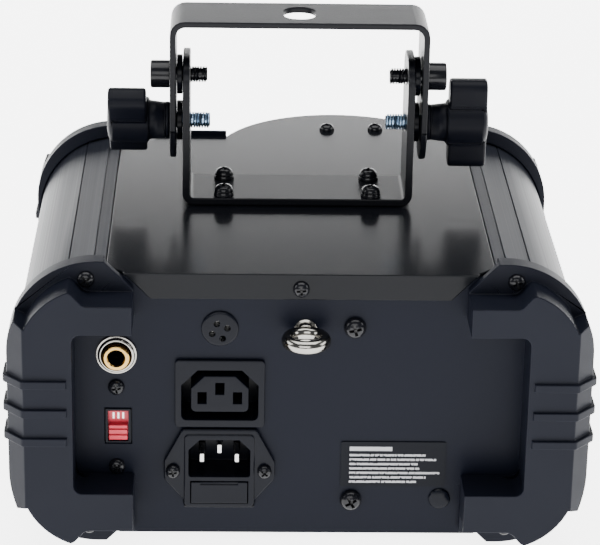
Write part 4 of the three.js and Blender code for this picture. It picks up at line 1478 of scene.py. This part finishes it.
@dataclass
class SafetyEye:
    """A level ring on a threaded shank, for a safety cable."""

    x: float = 2.0
    z: float = 90.6
    radius: float = 7.35
    wire: float = 2.4
    ring_y: float = M.rear - 10.5

    def build(self) -> list[bpy.types.Object]:
        """Makes the eye. Returns: the piece."""
        section = [(self.radius + self.wire * math.cos(t), self.z + self.wire * 1.12 * math.sin(t))
                   for t in (FULL_TURN * k / 24 for k in range(24))]
        ring = Solid.turned(Axis.Z, self.x, self.ring_y, section, 72, closed=True)
        start = self.ring_y + self.radius
        shank = Solid.turned(Axis.Y, self.x, self.z, [
            (0, start), (3.4, start), (3.6, start + 0.6), (3.8, OUTSIDE - 0.6), (4.6, OUTSIDE - 0.3),
            (4.6, OUTSIDE), (3, OUTSIDE), (3, M.rear + 12), (0, M.rear + 12)], 40)
        return [ring.combined(Cut.JOIN, shank).placed("safety_eye_ring", "nickel",
                                                      stands_for=["safety_eye"])]


@dataclass
class TankCap:
    """A ribbed screw cap on the tank's neck."""

    x: float = 19.5
    y: float = 88.75
    low: float = 97.0
    high: float = 108.5
    radius: float = 14.0
    ribs: int = 36

    def build(self) -> list[bpy.types.Object]:
        """Makes the cap. Returns: the piece."""
        rim = [Vector((self.x, self.y)) + Matrix.Rotation(FULL_TURN * k / (2 * self.ribs), 2)
               @ Vector((self.radius - 0.6 * (k % 2), 0)) for k in range(2 * self.ribs)]
        cap = Solid.prism(Axis.Z, rim, self.low, self.high, 1.2)
        bore = Solid.prism(Axis.Z, circle(self.x, self.y, 11.3, 48), self.low - 1, self.high - 2.9)
        return [cap.combined(Cut.AWAY, bore).placed("tank_cap_lid", "bumper_plastic", "tank_cap",
                                                    stands_for=["tank_cap"])]


@dataclass
class Screws:
    """Every cross-head screw of the machine: places and head radii."""

    small: float = 3.4
    flange: float = 3.3
    inlet: float = 2.9
    bracket: float = 3.9
    bracket_washer: float = 4.2
    panel: float = 4.4
    bumper_x: float = 83.3
    selector_x: float = -72.2
    inlet_z: float = 30.7
    bracket_x: float = 30.5
    panel_x: float = 21.4

    def build(self) -> list[bpy.types.Object]:
        """Marks the screws and makes them. Returns: the piece."""
        kit = ScrewSet()
        back, up = (0, -1, 0), (0, 0, 1)
        rim = M.rear - 3.8
        upper, lower = (self.bumper_x + 0.1, 112.9), (self.bumper_x, 7.0)
        for k, (x, z) in enumerate((upper, (-upper[0], upper[1]), lower, (-lower[0], lower[1]))):
            kit.add(x, rim, z, back, self.small, 20 + 17 * k)
            kit.add(x, M.front + 3.8, z, (0, 1, 0), self.small, 31 * k)
        kit.add(0, M.rear - 1.5, 108.4, back, self.flange, 5)
        for z, spin in ((65.8, 10), (31.5, 40)):
            kit.add(self.selector_x, M.rear, z, back, self.flange, spin)
        for x, spin in ((-49.9, 8), (-13.4, 50)):
            kit.add(x, OUTSIDE - 3, self.inlet_z, back, self.inlet, spin)
        for x, y, spin in ((15.6, 88.45, 12), (37.4, 89.05, 33)):
            kit.add(x, y, M.cover, up, self.small, spin)
        for x in (-self.bracket_x, self.bracket_x):
            for y, spin in ((-11.0, 22), (10.0, 48)):
                kit.add(x, M.strap + y, M.cover + 3.4, up, self.bracket_washer, 0)
                kit.add(x, M.strap + y, M.cover + 5.0, up, self.bracket, spin + x)
        for z, spin in ((91.9, 14), (17.0, 30)):
            kit.add(self.panel_x, OUTSIDE, z, back, self.panel, spin)
        replaced = [f"{side}_{end}_bracket_screw"
                    for side in ("left", "right") for end in ("rear", "front")]
        return [kit.build("cross_head_screws", "black_steel",
                          [*replaced, "upper_panel_screw", "lower_panel_screw"])]


# ---------------------------------------------------------------- studio
@dataclass
class Studio:
    """Pale floor, a low white wall behind, soft lamps and the camera."""

    eye: Colour = (-0.02896, -1.03322, 0.48487)
    pitch: float = 21.40
    yaw: float = 1.72
    roll: float = 1.07
    lens: float = 156.83
    white: Colour = (0.9, 0.9, 0.9)
    sky: Colour = (0.55, 0.57, 0.6)
    sky_strength: float = 0.35
    floor_glow: float = 5.0
    wall: Colour = (1.6, 1.25, 0.55)
    wall_glow: float = 0.85

    def card(self, name: str, corners: Sequence[Colour], glow: float = 0.0) -> None:
        """Makes a flat piece of the studio.

        Args:
            name: Its name.
            corners: Its four corners in metres.
            glow: Its own light.
        """
        mesh = bpy.data.meshes.new(name)
        mesh.from_pydata(corners, [], [(0, 1, 2, 3)])
        graph = Graph(name)
        graph.set(Base_Color=self.white, Roughness=0.9, Emission_Color=self.white,
                  Emission_Strength=glow)
        mesh.materials.append(graph.material)
        linked(name, mesh)

    def lamp(self, name: str, place: Colour, aim: Colour, size: Corner, power: float) -> None:
        """Hangs a soft lamp.

        Args:
            name: Its name.
            place: Where it hangs.
            aim: The point that it faces.
            size: Its width and height.
            power: Its power in watts.
        """
        light = bpy.data.lights.new(name, "AREA")
        light.shape, light.energy = "RECTANGLE", power
        light.size, light.size_y = size
        made = linked(name, light)
        made.location = place
        made.rotation_euler = (Vector(aim) - Vector(place)).to_track_quat("-Z", "Y").to_euler()

    def build(self) -> list[bpy.types.Object]:
        """Makes the studio. Returns: no pieces, since none of it is the machine's."""
        w, y, h = self.wall
        self.card("floor", [(-4, -4, 0), (4, -4, 0), (4, 4, 0), (-4, 4, 0)], self.floor_glow)
        self.card("wall", [(-w, y, 0), (w, y, 0), (w, y, h), (-w, y, h)], self.wall_glow)
        self.lamp("overhead", (0.0, 0.1, 1.9), (0, 0, 0), (2.2, 1.6), 60)
        self.lamp("front", (-0.3, -2.2, 1.1), (0, 0, 0.05), (2.0, 1.0), 34)
        for name, x in (("left_side", -1.5), ("right_side", 1.5)):
            self.lamp(name, (x, 0.1, 0.75), (0, 0, 0.1), (1.2, 0.7), 16)
        world = bpy.data.worlds.new("studio")
        world.use_nodes = True
        background = world.node_tree.nodes["Background"].inputs
        background["Color"].default_value = (*self.sky, 1)
        background["Strength"].default_value = self.sky_strength
        bpy.context.scene.world = world
        camera = linked("camera", bpy.data.cameras.new("camera"))
        camera.data.lens, camera.data.sensor_width = self.lens, 36
        camera.data.sensor_fit = "HORIZONTAL"
        camera.data.clip_start, camera.data.clip_end = 0.05, 20
        turn = (Matrix.Rotation(-math.radians(self.yaw), 4, "Z")
                @ Matrix.Rotation(math.radians(90 - self.pitch), 4, "X")
                @ Matrix.Rotation(math.radians(self.roll), 4, "Z"))
        camera.matrix_world = Matrix.Translation(self.eye) @ turn
        bpy.context.scene.camera = camera
        return []


def main() -> None:
    """Builds every sub-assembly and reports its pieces."""
    logging.basicConfig(level=logging.INFO, format="%(name)s: %(message)s")
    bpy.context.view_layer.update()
    assemblies = [Studio(), Bumper(), *SHELL, ClampKnob("right", 90), ClampKnob("left", -50),
                  TiltBolt("right"), TiltBolt("left"), MainsSockets(), ControlJack(), VoltageSelector(),
                  Microphone(), SafetyEye(), TankCap(), Screws(), *INSIDE]
    for assembly in assemblies:
        for piece in assembly.build():
            log.info("%s: %s, %d faces", type(assembly).__name__, piece.name, len(piece.data.polygons))


if __name__ == "__main__":
    main()
